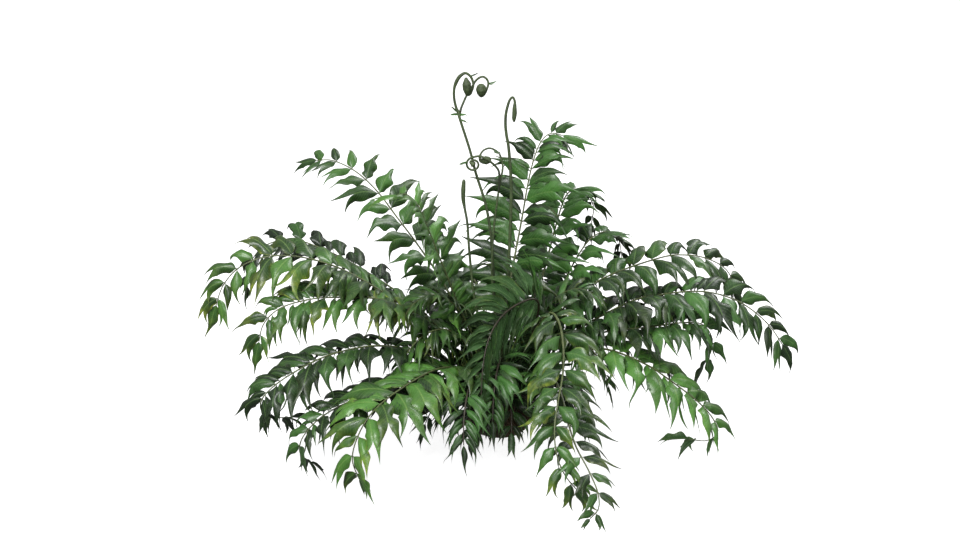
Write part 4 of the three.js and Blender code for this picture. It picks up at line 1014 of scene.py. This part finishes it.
def roughened_rootstock():
    copy = add_thing("rootstock_fibrous", frame["nodes"]["crown"].data.copy())
    remesh = copy.modifiers.new("even_faces", "REMESH")
    remesh.mode = "VOXEL"
    remesh.voxel_size = FACE_SIZE
    relax = copy.modifiers.new("relaxed", "SMOOTH")
    relax.factor = 0.5
    relax.iterations = 8
    bpy.context.view_layer.update()
    shaped = copy.evaluated_get(bpy.context.evaluated_depsgraph_get())
    mesh = bpy.data.meshes.new_from_object(shaped)
    copy.modifiers.clear()
    copy.data = mesh
    for vertex in mesh.vertices:
        if vertex.co.z < FLAT_FOOT:
            continue
        strings = noise.noise(Vector((vertex.co.x * 320, vertex.co.y * 320, vertex.co.z * 60)))
        lumps = noise.noise(vertex.co * 90)
        vertex.co += vertex.normal * (strings * STRING_DEPTH + lumps * LUMP_DEPTH)
    mesh.polygons.foreach_set("use_smooth", [True] * len(mesh.polygons))
    mesh.materials.clear()
    mesh.materials.append(OLD_ROOT)
    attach(copy, "root")
    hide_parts("crown")
    return copy


rootstock = roughened_rootstock()
print("rootstock faces", len(rootstock.data.polygons))

# %% [markdown]
# Dry papery scales cover the rootstock and the feet of the stems. A hair system would be lost when
# the model is exported, so each scale is a small closed blade with three sides, bowed outwards and
# drawn to a point. All of them are worked out together as one block of numbers.

# %% Dry scales on the rootstock and the stem feet
SCALE_ROWS = np.array([0.0, 0.35, 0.7, 1.0])
SCALE_WIDTHS = np.array([0.8, 1.0, 0.6, 0.04])
SCALE_CORNERS = np.array([[1.0, 0.0], [0.0, 0.35], [-1.0, 0.0]])
DRY, DEAD_END = 0, 1


def grow_scales(mesh, feet, aheads, outs, lengths, widths, bow, finish):
    """Scales on their feet, each pointing ahead and bowed outwards."""
    aheads = unit(aheads)
    outs = square_to(outs, aheads)
    across = np.cross(outs, aheads)
    t = SCALE_ROWS[None, :, None]
    middle = feet[:, None] + aheads[:, None] * (lengths[:, None, None] * t)
    middle = middle + outs[:, None] * (lengths * bow)[:, None, None] * t * (1 - 0.4 * t)
    wide = widths[:, None] * SCALE_WIDTHS / 2
    spots = (middle[:, :, None] + across[:, None, None] * (wide[..., None] * SCALE_CORNERS[:, 0])[..., None]
             + outs[:, None, None] * (wide[..., None] * SCALE_CORNERS[:, 1])[..., None])
    rings = mesh.add(spots, SCALE_ROWS[None, :, None], 0.0, 0.5, 0.0)
    mesh.skin(rings, finish)
    for ring in rings:
        mesh.cap(ring[0], finish, start=True)
        mesh.cap(ring[-1], finish)


def scale_rows(draw, count):
    return np.array([[draw() for _ in range(6)] for _ in range(count)])


def rootstock_scales(mesh, draw, count):
    vertices = rootstock.data.vertices
    rows = scale_rows(draw, count)
    spots, normals = [], []
    for share in rows[:, 0]:
        vertex = vertices[int(share * (len(vertices) - 1))]
        spots.append(np.array(vertex.co) / MM)
        normals.append(np.array(vertex.normal))
    spots, normals = np.array(spots), np.array(normals)
    kept = (spots[:, 2] > 14) & (normals[:, 2] > -0.3)
    spots, normals, rows = spots[kept], normals[kept], rows[kept]
    sideways = np.stack([rows[:, 1] - 0.5, rows[:, 2] - 0.5, 0.9 + rows[:, 3] * 0.4], 1)
    grow_scales(mesh, spots - normals * 1.5, sideways + normals * 0.7, normals,
                mix(9, 22, rows[:, 4]), mix(1.6, 3.2, rows[:, 5]), 0.15, DRY)


def old_stubs(mesh, draw, count):
    """Dead leaf ends that hang from the rim of the rootstock."""
    rows = scale_rows(draw, count)
    angles = rows[:, 0] * 2 * math.pi
    outs = np.stack([np.cos(angles), np.sin(angles), np.zeros(count)], 1)
    feet = outs * mix(34, 48, rows[:, 1])[:, None] + np.array([0, 0, 1.0]) * mix(26, 62, rows[:, 2])[:, None]
    slopes = np.stack([np.zeros(count), np.zeros(count), mix(-0.9, 0.2, rows[:, 3])], 1)
    lengths = np.minimum(mix(24, 52, rows[:, 4]), (feet[:, 2] - 4) / 0.75)
    grow_scales(mesh, feet, outs + slopes, outs + np.array([0, 0, 1.0]), lengths,
                mix(3, 6.5, rows[:, 5]), 0.12, DEAD_END)


def stem_scales(mesh, draw, route, low, high, count, size, finish):
    for row in scale_rows(draw, count):
        distance = mix(low, high, row[0] ** 1.3)
        point, ahead, side, up = route.at(min(distance, route.length))
        angle = row[1] * 2 * math.pi
        out = side * math.cos(angle) + up * math.sin(angle)
        grow_scales(mesh, (point + out * 2.4)[None], (ahead + out * mix(0.2, 0.7, row[2]))[None],
                    out[None], np.array([mix(0.6, 1.0, row[3]) * size]),
                    np.array([mix(0.14, 0.2, row[4]) * size]), 0.12, finish)


def make_scales():
    mesh = Gathered()
    draw = seeded_draws(SCALE_SEED)
    rootstock_scales(mesh, draw, 1500)
    old_stubs(mesh, draw, 230)
    for name, route in routes.items():
        if "joins" not in FRONDS[name][3]:
            stem_scales(mesh, draw, route, 4, 95, 26, 12, DRY)
    mesh.piece("dry_scales", [DRY_SCALE, DEAD_LEAF], "rootstock")
    return mesh.triangles()


print("scale triangles", make_scales())

# %% [markdown]
# Four young shoots stand among the fronds, rolled up or nodding at the tip. Their solids have a
# square section and few steps. The same stops with more steps between them give a round, even coil.
# The rolled bud in the middle of a coil gets a ridge wound over it, as the young leaf is wound up.

# %% The young shoots
CROSIERS = {
    "crosier_tall": ([
        {"route": [(-6, -2, 72), (-8, 6, 180), (-12, 20, 300), (-17, 30, 400), (-28, 38, 474),
                   (-49, 40, 545), (-61, 42, 593), (-80, 45, 654), (-83, 48, 667), (-88, 50, 678),
                   (-92, 50, 697), (-92, 50, 716), (-88, 50, 730), (-81, 50, 742), (-70, 50, 749),
                   (-60, 50, 743), (-55, 49, 733), (-54, 47, 723), (-57, 45, 714), (-60, 41, 709),
                   (-65, 38, 710), (-66, 37, 719), (-67, 37, 730), (-68, 38, 739), (-69, 39, 743)],
         "radii": (3, 2.9, 2.8, 2.8, 2.7, 2.7, 2.6, 2.6, 3.6, 2.6, 2.5, 2.5, 3.4, 3.4, 2.5, 2.4, 2.3, 2.2,
                   2.2, 2.4, 4.5, 8, 8, 4, 1.5),
         "ridge": ((-66.5, 37, 725), (7.5, 13), 1.7)},
        {"route": [(-81, 48, 661), (-79, 52, 674), (-74, 58, 686), (-65, 62, 705), (-55, 66, 719),
                   (-50, 67, 728), (-42, 68, 735), (-34, 68, 737), (-27, 68, 732), (-24, 67, 724),
                   (-26, 65, 715), (-31, 60, 705), (-37, 54, 702), (-38, 52, 707), (-38, 51, 715),
                   (-38, 51, 723), (-38, 52, 727)],
         "radii": (2.2, 2.2, 2.1, 2.1, 2.1, 2.1, 2.1, 2.1, 2.1, 2.1, 2.1, 2.3, 3.5, 8, 10.5, 8, 3),
         "ridge": ((-38, 51, 714.5), (9.6, 10.5), 1.9)}],
        [((-83, 48, 667), (-99, 46, 668), 0.5), ((-84, 48, 670), (-94, 46, 680), 0.2),
         ((-82, 48, 666), (-70, 44, 668), 0.5), ((-80, 45, 656), (-62, 42, 651), 0.6),
         ((-60, 50, 743), (-39, 46, 754), 0.2), ((-24, 67, 724), (-3, 64, 731), 0.2)]),
    "crosier_forked": ([
        {"route": [(4, -13, 72), (2, -8, 160), (-8, 0, 250), (-16, 8, 330), (-14, 14, 420), (-5, 20, 500),
                   (1, 22, 539), (4, 24, 552), (5, 26, 563), (3, 28, 576), (-3, 30, 590), (-14, 30, 598),
                   (-23, 30, 600), (-33, 30, 596), (-39, 28, 589), (-41, 26, 581), (-37, 24, 576),
                   (-29, 23, 577), (-22, 23, 578), (-18, 23, 578.5)],
         "radii": (3, 2.6, 2.4, 2.2, 2.1, 2, 2, 1.9, 1.8, 1.8, 1.8, 1.8, 1.8, 1.8, 1.9, 2.4, 5, 8.5, 6.5,
                   2.5),
         "ridge": ((-29.5, 23, 577), (8.5, 7), 1.5)},
        {"route": [(-4, 20, 512), (-2, 20, 530), (-2, 19, 549), (-6, 17, 562), (-19, 14, 576),
                   (-33, 12, 586), (-43, 15, 588)],
         "coil": ((-54, 18, 570), 14.5, 8, 100, 400), "radii": (1.8, 1.7), "bud": 5, "thick": 1.3}],
        [((-14, 30, 598), (10, 24, 590), 0.5), ((-66, 18, 576), (-86, 14, 572), 0.3)]),
    "crosier_closed": ([
        {"route": [(-17, -12, 71), (-26, -14, 150), (-40, -12, 230), (-54, -6, 310), (-62, 0, 390),
                   (-66, 3, 450), (-71, 6, 480), (-74, 8, 500), (-74, 9, 520), (-73, 10, 536),
                   (-73, 10, 541)],
         "radii": (2.8, 2.7, 2.6, 2.5, 2.4, 2.3, 2.4, 3.8, 4.3, 3.4, 1.4)}], []),
    "crosier_hooked": ([
        {"route": [(6, 2, 73), (10, 6, 180), (15, 12, 300), (20, 16, 420), (22, 18, 520), (17, 20, 599),
                   (12, 22, 630), (10, 23, 652), (11, 24, 674), (16, 25, 695), (20, 26, 703),
                   (24, 26, 706), (27, 26, 702), (28.5, 26, 695), (28, 25.5, 685), (28, 25.5, 674),
                   (27, 25, 663), (27, 25, 656)],
         "radii": (3, 3, 3, 3, 3, 2.9, 2.9, 2.8, 2.7, 2.5, 2.3, 2.2, 2.2, 2.6, 4, 4.8, 4, 1.6)}], []),
}
COIL_STEP = 36
BUD_STOPS, BUD_SWELL = (-0.65, 0, 0.65), (0.7, 1, 0.55)
SPRIG_LENGTH = 20
ROUNDNESS, RIDGE_TURNS = 1.08, 2.2
SPRIG_TOP, SPRIG_UNDER, SHOOT_SCALES = 1, 2, 3


def shoot_stops(shoot):
    """Stops and radii of a shoot with its coil and bud, in millimetres."""
    stops = [np.array(stop, float) for stop in shoot["route"]]
    if "coil" not in shoot:
        return stops, shoot["radii"]
    centre, outer, inner, start, turn = shoot["coil"]
    steps = math.floor(abs(turn) / COIL_STEP + 0.5)
    for k in range(steps + 1):
        angle = math.radians(start + turn * k / steps)
        stops.append(np.array(centre) + mix(outer, inner, k / steps)
                     * np.array([math.cos(angle), 0, math.sin(angle)]))
    radii = list(np.linspace(*shoot["radii"], len(stops)))
    ahead = unit(np.array(centre, float) - stops[-1]) * shoot["bud"]
    stops += [np.array(centre) + ahead * share for share in BUD_STOPS]
    return stops, radii + [share * shoot["bud"] for share in BUD_SWELL]


def grow_rod(mesh, stops, radii, sides=10, steps=6, roundness=ROUNDNESS):
    route = Route(stops, steps)
    angles = np.arange(sides) * 2 * math.pi / sides
    sides_at, alongs = np.array(route.sides), np.array(route.alongs)
    ups = np.cross(alongs, sides_at)
    wide = np.interp(np.arange(len(route.points)) / steps, range(len(radii)), radii) * roundness
    rings = (route.points[:, None] + wide[:, None, None]
             * (sides_at[:, None] * np.cos(angles)[:, None] + ups[:, None] * np.sin(angles)[:, None]))
    shares = np.linspace(0, 1, len(rings))[:, None]
    mesh.tube(mesh.add(rings, shares, 0.0, 0.5, np.clip(1 - shares * 6, 0, 1)))
    return route


def grow_ridge(mesh, ridge, draw):
    """The edge of the rolled leaf, wound twice over its bud."""
    (x, y, z), (wide, high), thick = ridge
    turns = np.linspace(0, RIDGE_TURNS, 24)
    shrink = 1 - 0.36 * turns
    angles = 2 * math.pi * turns + draw() * 6
    dome = np.sqrt(np.clip(1 - shrink ** 2, 0, 1))
    stops = np.stack([x + wide * shrink * np.cos(angles), y - wide * 0.75 * dome,
                      z + high * shrink * np.sin(angles)], 1)
    grow_rod(mesh, list(stops), thick * (1 - 0.3 * turns / RIDGE_TURNS), 8, 2)


def grow_sprig(mesh, sprig, draw, grow_draw):
    start, end, drop = np.array(sprig[0], float), np.array(sprig[1], float), sprig[2]
    along = unit(end - start)
    across = unit(np.cross(along, DOWN))
    up = -np.cross(across, along)
    character = draw_character(draw, 0.5)
    lines = midribs(start, along[None], up[None], np.array([float(SPRIG_LENGTH)]), np.array([drop]), 0.0)
    leaflet = {"line": [part[0] for part in lines], "length": SPRIG_LENGTH, "character": character,
               "finish": (SPRIG_TOP, SPRIG_UNDER)}
    grow_leaflet(mesh, leaflet, grow_draw, 0.1)


def make_crosier(name):
    mesh = Gathered()
    shoots, sprigs = CROSIERS[name]
    draw, grow_draw, scale_draw = map(seeded_draws, (SPRIG_SEED, SPRIG_MANNER_SEED, SHOOT_SCALE_SEED))
    for shoot in shoots:
        route = grow_rod(mesh, *shoot_stops(shoot), roundness=shoot.get("thick", ROUNDNESS))
        if "ridge" in shoot:
            grow_ridge(mesh, shoot["ridge"], grow_draw)
        stem_scales(mesh, scale_draw, route, 5, route.length * 0.5, round(route.length / 24), 6,
                    SHOOT_SCALES)
    for sprig in sprigs:
        grow_sprig(mesh, sprig, draw, grow_draw)
    # The sprigs take the dim copies of the leaf finishes, which carry painted shade.
    under = LEAF_UNDERS["leaf_dark"]
    mesh.piece(f"{name}_round", [YOUNG_STEM, LEAF_TOPS["leaf_dark"], under, DRY_SCALE], "young_stem", name)
    return mesh.triangles()


print("shoot triangles", [make_crosier(name) for name in CROSIERS])

# %% [markdown]
# The picture was taken on a plain white ground in soft light from the upper left. The floor glows a
# little, so that it stays white under the clump, and it lights nothing from below, which keeps the
# undersides of the leaflets as dark as they are. The sky is bright above and dim at the horizon.

# %% Floor and light
FLOOR_REACH = 14
LAMPS_AIM = Vector((0, 0, 0.3))


def make_floor():
    mesh = bpy.data.meshes.new("pale_floor")
    corners = [(x * FLOOR_REACH, y * FLOOR_REACH, 0) for x, y in ((-1, -1), (1, -1), (1, 1), (-1, 1))]
    mesh.from_pydata(corners, [], [(0, 1, 2, 3)])
    floor = add_thing("pale_floor", mesh)
    paint = Nodes(bpy.data.materials.new("pale_ground"))
    paint.feed(paint.main, {"Base Color": (0.5, 0.5, 0.5, 1), "Roughness": 0.9,
                            "Emission Color": (1, 1, 1, 1), "Emission Strength": 0.85})
    mesh.materials.append(paint.owner)
    floor.visible_diffuse = False
    floor.visible_glossy = False


def make_lamp(name, place, size, power):
    lamp = bpy.data.lights.new(name, "AREA")
    lamp.shape = "SQUARE"
    lamp.size = size
    lamp.energy = power
    thing = add_thing(name, lamp)
    thing.location = place
    thing.rotation_euler = (LAMPS_AIM - Vector(place)).to_track_quat("-Z", "Y").to_euler()


def make_sky():
    sky = Nodes(bpy.data.worlds.new("white_room"), "Background")
    way = sky.add("ShaderNodeTexCoord", {}, "Generated")
    height = sky.add("ShaderNodeSeparateXYZ", {0: way}, "Z")
    colour = sky.blend(sky.steepened(height, -0.3, 1.0), (0.45, 0.45, 0.45, 1), (1.0, 1.0, 1.0, 1))
    sky.feed(sky.main, {"Color": colour, "Strength": 0.46})
    bpy.context.scene.world = sky.owner


make_floor()
make_lamp("key_lamp", (-1.5, -2.2, 3.8), 1.6, 200)
make_lamp("front_lamp", (0.6, -4.4, 2.0), 2.4, 100)
make_lamp("rim_lamp", (2.2, 2.4, 3.0), 2.2, 100)
make_sky()
bpy.context.scene.view_settings.view_transform = "Standard"
print("floor and lamps placed")
